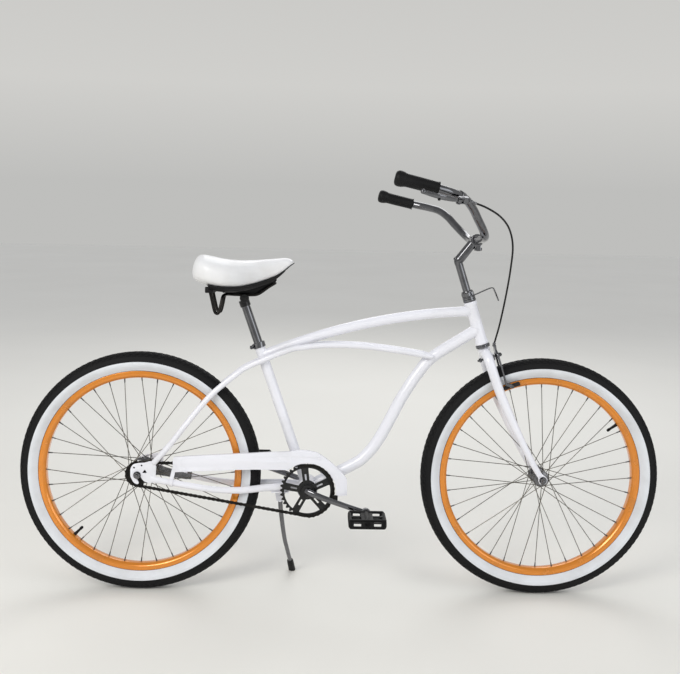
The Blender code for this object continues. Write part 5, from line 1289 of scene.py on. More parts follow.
def chain_pins():
    front, back = bracket_centre(), rear_axle()
    line = front - back
    slope = math.atan2(line.z, line.x)
    lift = math.acos((pitch_radius(CHAINRING_TEETH) - pitch_radius(SPROCKET_TEETH)) / line.length)
    ring = wrapped_pins(front, CHAINRING_TEETH, slope - lift, slope + lift)
    sprocket = wrapped_pins(back, SPROCKET_TEETH, slope + lift, slope - lift + 2 * math.pi)
    top = round((sprocket[0] - ring[-1]).length / CHAIN_PITCH)
    bottom = round((ring[0] - sprocket[-1]).length / CHAIN_PITCH)
    if (len(ring) + len(sprocket) + top + bottom) % 2:
        top += 1
    pins = ring + straight_pins(ring[-1], sprocket[0], top) + sprocket
    return pins + straight_pins(sprocket[-1], ring[0], bottom)


def link_outline(start, end, tall=0.0042, waist=0.003):
    flat = end - start
    turn = math.atan2(flat.z, flat.x)
    middle = (start + end) / 2
    half = flat.length / 2
    points = []
    for k in range(7):
        a = -math.pi / 2 + math.pi * k / 6
        points.append((half + tall * math.cos(a), tall * math.sin(a)))
    points.append((0.0, waist))
    points += [(-x, -z) for x, z in points]
    c, s = math.cos(turn), math.sin(turn)
    return [(middle.x + x * c - z * s, middle.z + x * s + z * c) for x, z in points]


def chain():
    pins = chain_pins()
    plates, rollers = [], []
    for k, pin in enumerate(pins):
        outline = link_outline(pin, pins[(k + 1) % len(pins)])
        near, far = (0.0017, 0.00235) if k % 2 else (0.0024, 0.00305)
        for way in (-1, 1):
            plates.append(plate(outline, -CHAIN_LINE + way * near, -CHAIN_LINE + way * far, edge=0.00015))
        side = LEFT * 0.0034
        place = Vector((pin.x, -CHAIN_LINE, pin.z))
        rollers.append(rod(place - side, place + side, 0.0018, 12, 0.0003))
        rollers.append(rod(place - side * 0.47, place + side * 0.47, 0.0036, 14, 0.0003))
    print("links in the chain:", len(pins))
    return together(*plates, *rollers)


show("chain_links", chain(), "frame", OILED, ["chain"])

# %% [markdown]
# A one-piece crank is forged from a single bar: arm, spindle, arm. Each arm is an oval that starts at the
# spindle and bends outwards to clear the guard and the stay. The cones, the locking nut and the pin that
# drives the chainring are on it too; the painted collar beside the chainring is a piece of its own.


# %% Crank
def crank_cup(side):
    half = SHELL_HALF_LENGTH
    profile = [(0.022, 0.0099), (0.022, 0.0252)]
    rise = [(0.0, 0.0252), (0.0003, 0.0266), (0.0008, 0.027), (0.0018, 0.0268), (0.0024, 0.0262)]
    rise += [(0.0024, 0.017), (0.0012, 0.016), (0.0012, 0.0099)]
    profile += [(half + along, radius) for along, radius in rise]
    return lathe(bracket_centre(), profile, 56, axis=(0, side, 0), ring=True)


def crank_arm(side):
    line = [(0.0, 0.05), (0.006, 0.0555), (0.02, 0.0625), (0.045, 0.069), (0.075, 0.072)]
    line += [(0.12, 0.0742), (CRANK_LENGTH - 0.008, 0.076)]
    path = spread([crank_point(reach, side) for reach, _ in line], [out for _, out in line], side)
    widths = [0.0096, 0.0092, 0.0085, 0.008, 0.0078, 0.0075, 0.0082]
    heights = [0.0096, 0.0085, 0.0066, 0.0058, 0.0055, 0.0054, 0.0054]
    lift = Vector((math.sin(-CRANK_ANGLE), 0.0, math.cos(CRANK_ANGLE)))
    arm = bent(path, widths, heights, sides=28, across=lift, square=0.85)
    eye = [(0.07, 0.0072), (0.07, 0.0125), (0.0706, 0.0133), (0.0715, 0.0138), (0.081, 0.0138)]
    eye += [(0.0819, 0.0133), (0.0825, 0.0125), (0.0825, 0.0072)]
    return together(arm, lathe(crank_point(CRANK_LENGTH, side), eye, 48, axis=(0, side, 0), ring=True))


def crank():
    centre = bracket_centre()
    shapes = [crank_arm(-1), crank_arm(1)]
    shapes.append(rod(centre - LEFT * 0.052, centre + LEFT * 0.052, 0.0096, 40))
    for side, wide in ((-1, 0.045), (1, 0.0425)):
        cone = [(0.0352, 0.011), (0.0385, 0.015), (wide - 0.0004, 0.015), (wide, 0.0146)]
        shapes.append(lathe(centre, cone, 48, axis=(0, side, 0)))
    shapes.append(rod(centre + LEFT * 0.0425, centre + LEFT * 0.0458, 0.016, 6, 0.0006))
    pin = crank_point(DRIVE_PIN, -1)
    shapes.append(rod(pin - LEFT * (CHAIN_LINE - 0.0008), pin - LEFT * (CHAIN_LINE + 0.01), 0.003, 20))
    return together(*shapes)


def crank_collar():
    """The painted collar that the chainring is seated against."""
    seat = [(CHAIN_LINE + 0.0015, 0.018), (CHAIN_LINE + 0.002, 0.0186), (CHAIN_LINE + 0.0046, 0.0186)]
    seat += [(CHAIN_LINE + 0.0073, 0.016)]
    return lathe(bracket_centre(), seat, 56, axis=(0, -1, 0))


show("crank_forging", crank(), "crank", CHROME, ["crank"])
show("crank_collar", crank_collar(), "crank", BLACK)
for side, name in SIDES:
    show("bearing_cup_" + name, crank_cup(side), "frame", CHROME, ["crank_cup_" + name])
print("crank arm:", CRANK_LENGTH)

# %% [markdown]
# A resin pedal is an open cage. Two flat ladders, each with four windows, lie above and below a barrel on
# the spindle. Saw-edged strips close the front and the back where the shoe grips, and plates with windows
# of their own close the ends, so light passes through from above and from the side.


# %% Pedals
PEDAL_LENGTH, PEDAL_WIDTH, PEDAL_HEIGHT = 0.1, 0.09, 0.026
PEDAL_START = 0.1


def saw_strip():
    """The front edge of the pedal from above, as (along, outwards) points from its middle."""
    long, wide, teeth = PEDAL_LENGTH / 2, PEDAL_WIDTH / 2, 11
    edge = [(long - 0.0085, -wide), (long - 0.006, -wide)]
    for k in range(teeth):
        start = -wide + 0.006 + (PEDAL_WIDTH - 0.012) * k / teeth
        edge += [(long - 0.0022, start), (long, start + 0.0024), (long, start + 0.0042)]
    return edge + [(long - 0.0022, wide - 0.006), (long - 0.006, wide), (long - 0.0085, wide)]


def box(left, low, right, high):
    return [(left, low), (right, low), (right, high), (left, high)]


def pedal_cage():
    """The two ladders and the two saw-edged strips, lying flat round the origin."""
    long, wide, tall = PEDAL_LENGTH / 2, PEDAL_WIDTH / 2, PEDAL_HEIGHT / 2
    windows = []
    for x in (-0.0285, 0.0285):
        for y in (-PEDAL_WIDTH * 0.235, PEDAL_WIDTH * 0.235):
            windows.append(rounded(box(x - 0.013, y - 0.0165, x + 0.013, y + 0.0165), 0.003))
    ladder = box(-long + 0.007, -wide, long - 0.007, wide)
    shapes = [plate(ladder, low, low + 0.0035, windows, 0.0006) for low in (-tall + 0.003, tall - 0.0065)]
    front = saw_strip()
    back = [(-along, -out) for along, out in front]
    shapes += [plate(strip, -tall + 0.003, tall - 0.003, edge=0.001) for strip in (front, back)]
    return together(*shapes)


def pedal(side):
    centre = crank_point(CRANK_LENGTH, side)
    inner, outer = PEDAL_START, PEDAL_START + PEDAL_WIDTH
    long, wide, tall = PEDAL_LENGTH / 2, PEDAL_WIDTH / 2, PEDAL_HEIGHT / 2
    shapes = [pedal_cage()]
    to_centre = Matrix.Translation((centre.x, side * (inner + wide), centre.z))
    shapes[0].transform(to_centre @ Matrix.Rotation(-math.pi / 2, 4, "X"))
    corners = [(-long, -0.007), (-long + 0.004, -tall), (long - 0.004, -tall), (long, -0.007)]
    corners += [(-x, -z) for x, z in corners]
    ends = rounded(placed(centre, corners), 0.003)
    holes = []
    for x in (centre.x - 0.0265, centre.x + 0.0265):
        holes.append(rounded(box(x - 0.0095, centre.z - 0.006, x + 0.0095, centre.z + 0.0065), 0.002))
    for start in (inner, outer - 0.005):
        shapes.append(plate(ends, side * start, side * (start + 0.005), holes, 0.001))
    barrel = [(inner + 0.001, 0.0112), (inner + 0.004, 0.0125), (outer - 0.004, 0.0125)]
    barrel.append((outer - 0.001, 0.0108))
    cap = [(outer - 0.001, 0.0085), (outer - 0.0001, 0.008), (outer, 0.007)]
    shapes += [lathe(centre, profile, 36, axis=(0, side, 0)) for profile in (barrel, cap)]
    for x in (centre.x - long + 0.0048, centre.x + long - 0.0048):
        for z in (centre.z - tall + 0.0016, centre.z + tall - 0.0016):
            shapes.append(rod((x, side * (inner + 0.002), z), (x, side * (outer - 0.002), z), 0.0016, 8))
    return together(*shapes)


def pedal_spindle(side):
    outer = PEDAL_START + PEDAL_WIDTH
    profile = [(0.0706, 0.0065), (0.071, 0.0069), (0.0828, 0.0069), (0.0829, 0.0078), (0.0833, 0.0082)]
    profile += [(0.0896, 0.0082), (0.09, 0.0078), (0.0905, 0.0058), (outer - 0.008, 0.0058)]
    profile.append((outer - 0.006, 0.0048))
    return lathe(crank_point(CRANK_LENGTH, side), profile, 32, axis=(0, side, 0))


for side, name in SIDES:
    show("tread_" + name, pedal(side), "pedal_" + name, PLASTIC, ["pedal_" + name])
    show("pin_" + name, pedal_spindle(side), "crank", STEEL, ["pedal_spindle_" + name])
print("pedal width:", PEDAL_WIDTH)

# %% [markdown]
# The fork's blades bend together under the head tube, sweep forward to the axle and flatten into slotted
# tips. Widths and heights shrink along the way, so the sweep takes a list of each.


# %% Fork
CROWN = HEAD_TUBE_START - 0.0237


def fork_leg(side):
    """Each row is a share of the way up to the crown, a share of the rake, and how far out."""
    line = [
        (1.0, 0.0, 0.002),
        (0.9909, 0.0, 0.022),
        (0.953, 0.0, 0.0385),
        (0.8825, 0.0, 0.0462),
        (0.7833, 0.017, 0.0478),
        (0.658, 0.085, 0.0485),
        (0.5222, 0.219, 0.0492),
        (0.4073, 0.35, 0.05),
        (0.3003, 0.483, 0.0508),
        (0.2063, 0.613, 0.0516),
        (0.1175, 0.754, 0.0522),
        (0.0366, 0.917, 0.0525),
    ]
    path = [steer(up * CROWN, rake * FORK_OFFSET, side * out) for up, rake, out in line]
    widths = [0.014, 0.0138, 0.0136, 0.0134, 0.0132, 0.0126, 0.0118, 0.0108, 0.0098, 0.0088, 0.007, 0.0036]
    heights = [0.0145, 0.0142, 0.0138, 0.0136, 0.0134, 0.0128, 0.012, 0.011, 0.01, 0.0092, 0.0088, 0.008]
    return bent(path, widths, heights, sides=32, across=(0, side, 0.4))


def fork_tip(side):
    axle, slot, eye = front_axle(), 0.005, 0.0125
    outline = arc(flat(axle), eye, 12, math.radians(-60), math.radians(50), False)
    outline += [flat(steer(0.024, FORK_OFFSET + forward)) for forward in (-0.001, -0.012)]
    outline += arc(flat(axle), eye, 10, math.radians(165), math.radians(240), False)
    outline.append((axle.x - slot, axle.z - 0.012))
    outline += arc(flat(axle), slot, 12, math.radians(180), 0.0, False)
    outline.append((axle.x + slot, axle.z - 0.012))
    return plate(outline, side * 0.0505, side * 0.0545)


def fork():
    low = HEAD_TUBE_START
    foot, top = low - 0.0307, low + HEAD_TUBE_LENGTH + 0.0262
    steerer = [(foot, 0.0127), (top, 0.0127), (top, 0.0114), (foot, 0.0114)]
    race = [(low - 0.0207, 0.015), (low - 0.02, 0.0168), (low - 0.019, 0.0172), (low - 0.013, 0.0172)]
    race.append((low - 0.0125, 0.0166))
    shapes = [fork_leg(-1), fork_leg(1), lathe(steer(0.0), steerer, 48, axis=STEER_UP, ring=True)]
    shapes += [lathe(steer(0.0), race, 56, axis=STEER_UP), fork_tip(-1), fork_tip(1)]
    return together(*shapes)


show("fork_blades", fork(), "steering", WHITE, ["fork"])
print("fork from crown to axle:", round(CROWN, 3))

# %% [markdown]
# The stem rises as a goose neck from a straight quill to the barrel that grips the bar. The bar itself is a
# single bend, mirrored in the middle plane; its path is stated once and used by the grip and the lever too.


# %% Stem and handlebar
def moved(origin, points):
    return [origin + Vector(point) for point in points]


def other_side(points):
    """The same path on the far side, run backwards so that the two can be joined."""
    return [Vector((point.x, -point.y, point.z)) for point in points[::-1]]


def bar_centre():
    return steer(STEM_HEIGHT + 0.0474, 0.0632)


def bar_path():
    """Half of the handlebar, from the clamp out to the end inside the grip."""
    points = [
        (0.0, 0.0, 0.0),
        (0.0, 0.03, 0.0),
        (0.002, 0.09, 0.002),
        (0.001, 0.135, 0.0075),
        (-0.011, 0.172, 0.024),
        (-0.031, 0.207, 0.05),
        (-0.0485, 0.235, 0.0735),
        (-0.071, 0.266, 0.0935),
        (-0.099, 0.297, 0.104),
        (-0.1435, 0.321, 0.1145),
        (-0.2, 0.3245, 0.1275),
        (-0.245, 0.3225, 0.138),
    ]
    return moved(bar_centre(), points)


def stem():
    centre = bar_centre()
    line = [
        steer(STEM_HEIGHT - 0.05),
        steer(STEM_HEIGHT - 0.008),
        steer(STEM_HEIGHT + 0.003),
        steer(STEM_HEIGHT + 0.0098, 0.0025),
        steer(STEM_HEIGHT + 0.0158, 0.012),
        centre + Vector((-0.01, 0, -0.008)),
    ]
    sizes = between([0.011, 0.011, 0.0118, 0.013, 0.0133, 0.013], 6)
    neck = sweep([steer(HEAD_TUBE_START + 0.0633), *smooth(line, 6)], [0.011, *sizes], sides=36)
    barrel = [(-0.0215, 0.0113), (-0.0215, 0.0158), (-0.021, 0.0166), (-0.02, 0.0175), (-0.017, 0.0169)]
    barrel += [(-across, radius) for across, radius in barrel[::-1]]
    lug = box(centre.x, centre.z - 0.029, centre.x + 0.0125, centre.z - 0.008)
    bolt = rod(*moved(centre, [(-0.004, 0, -0.0235), (0.017, 0, -0.0235)]), 0.0042, 6)
    socket = [(0.0, 0.0068), (0.0165, 0.0068), (0.0186, 0.006), (0.0195, 0.0046), (0.0195, 0.003)]
    socket.append((0.015, 0.0028))
    screw = lathe(steer(STEM_HEIGHT + 0.001, -0.002), socket, 32, axis=STEER_UP - STEER_AHEAD * 0.12)
    clamp = lathe(centre, barrel, 56, ring=True)
    return together(neck, clamp, plate(rounded(lug, 0.003), -0.01, 0.01), bolt, screw)


def handlebar():
    half = bar_path()
    return sweep(smooth(other_side(half[1:]) + half, 6), BAR_RADIUS, sides=28, across=(0, 0, 1))


show("goose_neck", stem(), "steering", CHROME, ["stem"])
show("bent_bar", handlebar(), "steering", CHROME, ["handlebar"])
print("bar centre height:", round(bar_centre().z, 3))

# %% [markdown]
# The grips are moulded rubber sleeves on the bar's straight ends, a little waisted, with a flange at the
# inner end and a bulb at the outer one. One is swept along the end of the bar and the other is its mirror.


# %% Grips
def grip(side):
    path = bar_path()[-3:]
    ahead = (path[2] - path[1]).normalized()
    points = [path[0].lerp(path[1], along) for along in (0.06, 0.09, 0.16, 1.0)]
    beyond = (-0.024, -0.018, -0.011, -0.003, 0.0035, 0.0072, 0.0085)
    points += [path[2] + ahead * along for along in beyond]
    radii = [0.0172, 0.0172, 0.0157, 0.016, 0.0161, 0.0168, 0.0187, 0.0195, 0.018, 0.0138, 0.0085]
    shape = bent(points, radii, parts=7, sides=36, across=(0, 0, 1))
    return shape if side > 0 else mirrored(shape)


for side, name in SIDES:
    show("hand_grip_" + name, grip(side), "steering", GRIP, ["grip_" + name], 60)
print("grip length:", round((bar_path()[-1] - bar_path()[-3]).length, 3))

# %% [markdown]
# The front brake is worked from the right end of the bar. A ring clamps the bar and holds the lever between
# two cheeks; the cable leaves through a knurled adjuster. The lever is a pressed blade that ends in a ball.


# %% Brake lever
def lever_pivot():
    return steer(STEM_HEIGHT + 0.161, 0.0, -0.318)


LEVER_AXIS = Vector((-0.1865, 0.4393, -0.8787)).normalized()


def cable_start():
    return lever_pivot() + Vector((0.039, 0.034, -0.002))


def cable_end():
    return steer(BRAKE_HEIGHT + 0.042, 0.029, -0.035)


def cable_points():
    start, end = cable_start(), cable_end()
    offsets = [
        (-0.0189, -0.1125, 0.1703),
        (0.0225, -0.0755, 0.151),
        (0.0545, -0.0305, 0.1227),
        (0.0741, 0.0145, 0.0804),
        (0.0785, 0.0515, 0.0254),
        (0.0752, 0.0835, -0.0462),
        (0.066, 0.1115, -0.128),
    ]
    return [start, *moved(start.lerp(end, 0.5), offsets), end]


def lever_clamp():
    path = bar_path()
    place = path[7].lerp(path[8], 0.6)
    along = (path[8] - path[7]).normalized()
    place.y, along.y = -place.y, -along.y
    shapes = [bush(place - along * 0.0085, 0.0, 0.017, 0.0112, 0.0141, 0.001, 48, along)]
    pivot = lever_pivot()
    front = Vector((0.93, 0.37, 0.06)).normalized()
    block = pivot + front * 0.0165
    half = LEVER_AXIS * 0.0085
    shapes.append(sweep([block - half, block + half], 0.006, 0.005, 24, across=front, square=0.5))
    heights = [0.0036, 0.0056, 0.0056, 0.0044]
    for way in (-1, 1):
        out = LEVER_AXIS * way
        cheek = [pivot - front * 0.0062, pivot - front * 0.0045, block - front * 0.002, block]
        cheek = [point + out * 0.0069 for point in cheek]
        shapes.append(sweep(cheek, 0.0015, heights, 16, across=LEVER_AXIS, square=0.5))
        shapes.append(rod(pivot + out * 0.0078, pivot + out * 0.0096, 0.0048, 16))
    shapes.append(rod(pivot - LEVER_AXIS * 0.008, pivot + LEVER_AXIS * 0.008, 0.003, 20))
    reach = (block - place).normalized()
    arm = [place + reach * 0.0125, place + reach * 0.016, block]
    shapes.append(sweep(arm, [0.0066, 0.0052, 0.005], sides=20))
    start = cable_start()
    leaving = (cable_points()[1] - start).normalized()
    boss = smooth([block, start - leaving * 0.02, start - leaving * 0.012], 4)
    shapes.append(sweep(boss, 0.0036, sides=20, across=(0, 0, 1)))
    knurl = [(0.0, 0.0036)]
    for k in range(5):
        knurl += [(0.0004 + k * 0.0016, 0.0044), (0.0012 + k * 0.0016, 0.0044), (0.0014 + k * 0.0016, 0.004)]
    knurl += [(0.0085, 0.004), (0.0118, 0.0036)]
    shapes.append(lathe(start - leaving * 0.0125, knurl, 28, axis=leaving))
    return together(*shapes)


def brake_lever():
    pivot = lever_pivot()
    line = [(-0.004, -0.003, 0.0), (-0.016, -0.027, 0.0), (-0.044, -0.05, 0.0025)]
    line += [(-0.071, -0.057, 0.008), (-0.0935, -0.057, 0.014)]
    path = smooth(moved(pivot, line), 7)
    widths = between([0.0044, 0.0056, 0.0064, 0.0058, 0.0046], 7)
    heights = between([0.0038, 0.0036, 0.0032, 0.003, 0.003], 7)
    blade = sweep(path, widths, heights, 24, across=LEVER_AXIS, square=0.7)
    eye = [(-0.0046, 0.0034), (-0.0046, 0.006), (-0.004, 0.0068)]
    eye += [(-along, radius) for along, radius in eye[::-1]]
    return together(blade, lathe(pivot, eye, 36, axis=LEVER_AXIS, ring=True), lever_ball(path[-1])), path


def lever_ball(end):
    profile = [(0.0, 0.003), (0.0006, 0.0042), (0.0022, 0.0054), (0.0045, 0.006), (0.0078, 0.0059)]
    profile += [(0.0102, 0.0049), (0.0116, 0.0032), (0.0121, 0.0016)]
    return lathe(end + Vector((0.005, 0, 0)), profile, 28, axis=(-1, 0, 0.2))


def lever_bumper(path):
    """The small rubber stop under the middle of the blade."""
    profile = [(0.0, 0.0022), (0.001, 0.0036), (0.004, 0.0036), (0.0058, 0.0024)]
    return lathe(path[17] - Vector((0, 0, 0.004)), profile, 20, axis=(0, 0, -1))


show("lever_mount", lever_clamp(), "steering", CHROME, ["lever_clamp"])
blade, blade_line = brake_lever()
show("lever_blade", blade, "brake_lever", CHROME, ["brake_lever"])
show("lever_bumper", lever_bumper(blade_line), "brake_lever", PLASTIC)
print("lever reach:", round((blade_line[-1] - lever_pivot()).length, 3))

# %% [markdown]
# The cable's outer housing is a stiff cord: its route is the one that the solids settled, point for point,
# from the adjuster at the lever round in front of the bar to the cup on the caliper. A turned ferrule
# closes the housing at the lever, as a separate piece; the cup on the caliper's right arm takes the far end.


# %% Brake cable
def ferrule(point, ahead):
    profile = [(0.0, 0.0026), (0.0, 0.0031), (0.0006, 0.0034), (0.008, 0.0034), (0.0092, 0.0028)]
    profile.append((0.0092, 0.0026))
    return lathe(point + ahead * 0.0004, profile, 28, axis=ahead, ring=True)


route = smooth(cable_points(), 5)
housing = sweep(route, 0.0025, sides=16, across=(0, 0, 1))
cable = show("brake_housing", housing, "steering", PLASTIC, ["brake_cable"])
real_route = [STAND @ point for point in route]
cable_length = sum((b - a).length for a, b in zip(real_route, real_route[1:]))
collar = ferrule(route[0], (route[1] - route[0]).normalized())
show("ferrule_at_lever", collar, "steering", STEEL)
print("cable length:", round(cable_length, 3))

# %% [markdown]
# A side-pull caliper is two curved arms on one bolt, one in front of the other, that reach down either side
# of the tyre to a rubber pad at the rim. The right arm carries the cup that the cable pushes on.


# %% Caliper
PAD_AHEAD = 0.0415


def bolt_piece(start, end, radius, sides, edge=0.0004):
    return rod(steer(BRAKE_HEIGHT, start), steer(BRAKE_HEIGHT, end), radius, sides, edge)


def caliper_bolt():
    spring_seat = plate(rounded(box(-0.0085, -0.0085, 0.0085, 0.0085), 0.0015), 0.0, 0.006)
    turn = LEFT.rotation_difference(STEER_AHEAD).to_matrix().to_4x4()
    spring_seat.transform(Matrix.Translation(steer(BRAKE_HEIGHT, 0.016)) @ turn)
    shapes = [
        bolt_piece(-0.016, 0.0376, 0.003, 20),
        threaded(steer(BRAKE_HEIGHT, -0.016), steer(BRAKE_HEIGHT, -0.026), 0.003, 0.001),
        bolt_piece(-0.0215, -0.0158, 0.0056, 6, 0.0006),
        bolt_piece(-0.0158, -0.015, 0.007, 28),
        bolt_piece(0.0375, 0.0425, 0.0056, 6, 0.0006),
        spring_seat,
        bolt_piece(0.0425, 0.044, 0.0036, 20, 0.001),
    ]
    return together(*shapes)


def caliper_arm(side):
    forward = 0.0268 if side < 0 else 0.0336
    drop = BRAKE_HEIGHT - PAD_HEIGHT
    line = [(1.0, 0.0), (1.1441, 0.018), (1.1663, 0.032), (1.0111, 0.0415), (0.6785, 0.0445)]
    line += [(0.3459, 0.042), (0.1242, 0.0385)]
    path = smooth([steer(PAD_HEIGHT + up * drop, forward, side * out) for up, out in line], 5)
    width = between([0.0075, 0.007, 0.0062, 0.0058, 0.0052, 0.005, 0.0048], 5)
    shapes = [sweep(path, 0.0027, width, 24, across=STEER_AHEAD, square=0.6)]
    bolt = steer(BRAKE_HEIGHT, forward)
    shapes.append(bush(bolt, -0.0028, 0.0028, 0.0032, 0.0088, 0.0008, 40, STEER_AHEAD))
    knee = steer(PAD_HEIGHT + 0.0022, 0.0405, side * 0.038)
    foot = [path[-1], path[-1].lerp(knee, 0.6), steer(PAD_HEIGHT, PAD_AHEAD, side * 0.038)]
    shapes.append(sweep(foot, [0.0048, 0.0052, 0.005], sides=20))
    for near, far, radius, sides in ((0.0321, 0.0395, 0.0048, 24), (0.0392, 0.043, 0.005, 6)):
        ends = [steer(PAD_HEIGHT, PAD_AHEAD, side * out) for out in (near, far)]
        shapes.append(rod(*ends, radius, sides))
    if side < 0:
        hook = [(0.013, 0.0, -0.027), (0.024, 0.0, -0.0335), (0.0345, 0.001, -0.035)]
        line = smooth([steer(BRAKE_HEIGHT + up, forward + ahead, out) for up, ahead, out in hook], 4)
        shapes.append(sweep(line, 0.0026, 0.0044, 20, across=STEER_AHEAD, square=0.7))
        ahead = (cable_end() - cable_points()[-2]).normalized()
        cup = [(0.0005, 0.0036), (0.0011, 0.0042), (0.006, 0.0042), (0.007, 0.0036), (0.012, 0.0034)]
        shapes.append(lathe(cable_end(), cup, 28, axis=ahead))
    return together(*shapes)


def brake_pad(side):
    centre = steer(PAD_HEIGHT, PAD_AHEAD, side * 0.0262)
    radial = centre - front_axle()
    radial.y = 0.0
    radial.normalize()
    along = Vector((radial.z, 0.0, -radial.x))
    places = [-0.024, -0.0232, -0.022, -0.0085, -0.0078, -0.007]
    places += [-place for place in places[::-1]]
    sizes = [0.004, 0.0049, 0.0054, 0.0054, 0.0044, 0.0054]
    sizes += sizes[::-1]
    return sweep([centre + along * place for place in places], sizes, sides=24, square=0.45)


show("caliper_bolt_set", caliper_bolt(), "steering", CHROME, ["caliper_bolt"])
for side, name in SIDES:
    body = "caliper_" + name
    show("brake_arm_" + name, caliper_arm(side), body, CHROME, ["caliper_arm_" + name])
    show("brake_block_" + name, brake_pad(side), body, BRAKE, ["brake_pad_" + name])
print("pads at", round(PAD_HEIGHT, 4), "m above the axle line")

# %% [markdown]
# The kickstand is a bent rod under the chainstays with a rubber shoe. The bicycle leans on it, so the shoe
# is cut off level with the ground: the ground's plane is carried back to the upright bicycle for the cut.


# %% Kickstand
def stand_pivot():
    return bracket_centre() + Vector((-0.077, 0.029, -0.038))


def stand_path(parts):
    line = [(0.0, 0.0, -0.006), (0.002, 0.004, -0.04), (0.008, 0.0145, -0.092), (0.014, 0.0235, -0.132)]
    line += [(0.019, 0.0345, -0.156), (0.0235, 0.051, -0.18), (0.0275, 0.069, -0.202)]
    line.append((0.031, 0.089, -0.226))
    return smooth(moved(stand_pivot(), line), parts)


def cut_at_ground(mesh):
    back = STAND.inverted()
    point = back @ Vector((0, 0, 0.0001))
    shape = bmesh.new()
    shape.from_mesh(mesh)
    geometry = shape.verts[:] + shape.edges[:] + shape.faces[:]
    normal = back.to_3x3() @ Vector((0, 0, 1))
    result = bmesh.ops.bisect_plane(shape, geom=geometry, plane_co=point, plane_no=normal, clear_inner=True)
    rim_edges = [item for item in result["geom_cut"] if isinstance(item, bmesh.types.BMEdge)]
    bmesh.ops.edgenet_fill(shape, edges=rim_edges)
    shape.to_mesh(mesh)
    shape.free()
    return mesh


def kickstand_leg():
    radii = [0.0066, 0.0064, 0.0062, 0.006, 0.0058, 0.0058, 0.0058, 0.0058]
    leg = sweep(stand_path(6), between(radii, 6), sides=32, across=(1, 0, 0))
    return together(leg, bush(stand_pivot(), -0.0105, 0.0105, 0.0049, 0.0115, 0.001, 48))


def kickstand_shoe():
    path = stand_path(2)
    end = path[-1]
    ahead = (end - path[-3]).normalized()
    places = [-0.026, -0.0255, -0.024, -0.02, -0.0192, -0.018, -0.0172, -0.012, -0.0112, -0.01, -0.0092]
    sizes = [0.0074, 0.0081, 0.0088, 0.0091, 0.0084, 0.0084, 0.0092, 0.0095, 0.0088, 0.0088, 0.0096]
    places += [0.01, 0.024]
    sizes += [0.0098, 0.0101]
    shoe = sweep([end + ahead * place for place in places], sizes, sides=40, across=(1, 0, 0))
    return cut_at_ground(shoe)


show("stand_rod", kickstand_leg(), "kickstand", STEEL, ["kickstand_leg"])
show("stand_shoe", kickstand_shoe(), "kickstand", PLASTIC, ["kickstand_foot"])
print("stand reaches", round(-(stand_path(2)[-1] - stand_pivot()).z, 3), "m down")

# %% [markdown]
# The saddle sits a little turned on its post. Under it one sprung wire makes both rails and a hairpin loop
# at each rear corner; a barrel clamp grips the rails. All of it turns about the line of the seat tube.


# %% Saddle post, clamp and rails
def turned(mesh):
    origin = seat_line(0.0)
    spin = Matrix.Rotation(SADDLE_TURN, 4, SEAT_UP)
    mesh.transform(Matrix.Translation(origin) @ spin @ Matrix.Translation(-origin))
    return mesh


def rail_level():
    return seat_line(POST_TOP) + Vector((0.0, 0.0, 0.0205))


def seatpost():
    start, end = 0.27, POST_TOP
    profile = [(start, 0.0105), (start, POST_RADIUS), (end - 0.0004, POST_RADIUS)]
    profile += [(end, POST_RADIUS - 0.0004), (end, 0.0105)]
    return lathe(seat_line(0.0), profile, 48, axis=SEAT_UP, ring=True)


def saddle_clamp():
    """A collar on the post and a ribbed barrel across it, with a nut at each end."""
    collar = [(-0.012, 0.0003), (-0.012, 0.0018), (-0.0114, 0.0024), (0.0052, 0.0024)]
    collar += [(0.006, 0.0016), (0.006, 0.0003)]
    profile = [(POST_TOP + along, POST_RADIUS + out) for along, out in collar]
    shapes = [lathe(seat_line(0.0), profile, 48, axis=SEAT_UP, ring=True)]
    centre = rail_level() + Vector((0, 0, -0.0095))
    barrel = [(-0.033, 0.0105), (-0.0315, 0.0122)]
    for k in range(11):
        wide = 0.0125 if k % 2 else 0.0119
        barrel += [(-0.03 + k * 0.0052, wide), (-0.0254 + k * 0.0052, wide)]
    shapes.append(lathe(centre, [*barrel, (0.0315, 0.0122), (0.033, 0.0105)], 48))
    for out in (-LEFT, LEFT):
        shapes.append(rod(centre + out * 0.0328, centre + out * 0.0385, 0.0065, 6, 0.0006))
        shapes.append(rod(centre + out * 0.0384, centre + out * 0.04, 0.0038, 20, 0.0006))
    return turned(together(*shapes))


def saddle_rails():
    half = [
        (0.084, 0.0, 0.033),
        (0.08, 0.012, 0.031),
        (0.066, 0.02, 0.0225),
        (0.04, RAIL_SPREAD, 0.004),
        (0.022, RAIL_SPREAD, 0.0),
        (-0.022, RAIL_SPREAD, 0.0),
        (-0.034, 0.028, 0.0005),
        (-0.048, 0.05, 0.0008),
        (-0.0565, 0.072, -0.005),
        (-0.061, 0.0795, -0.025),
        (-0.0655, 0.0806, -0.044),
        (-0.069, 0.0809, -0.05),
        (-0.0735, 0.0811, -0.05),
        (-0.078, 0.0814, -0.044),
        (-0.0835, 0.082, -0.022),
        (-0.0885, 0.0825, 0.0),
        (-0.092, 0.083, 0.015),
    ]
    left = moved(rail_level(), half)
    return turned(sweep(smooth(other_side(left[1:]) + left, 5), RAIL_RADIUS, sides=20, across=(1, 0, 0)))


show("post_tube", seatpost(), "seat", CHROME, ["seatpost"])
show("rail_clamp", saddle_clamp(), "seat", BLACK, ["saddle_clamp"])
show("sprung_wire", saddle_rails(), "seat", OILED, ["saddle_rails"])
print("post top:", POST_TOP)

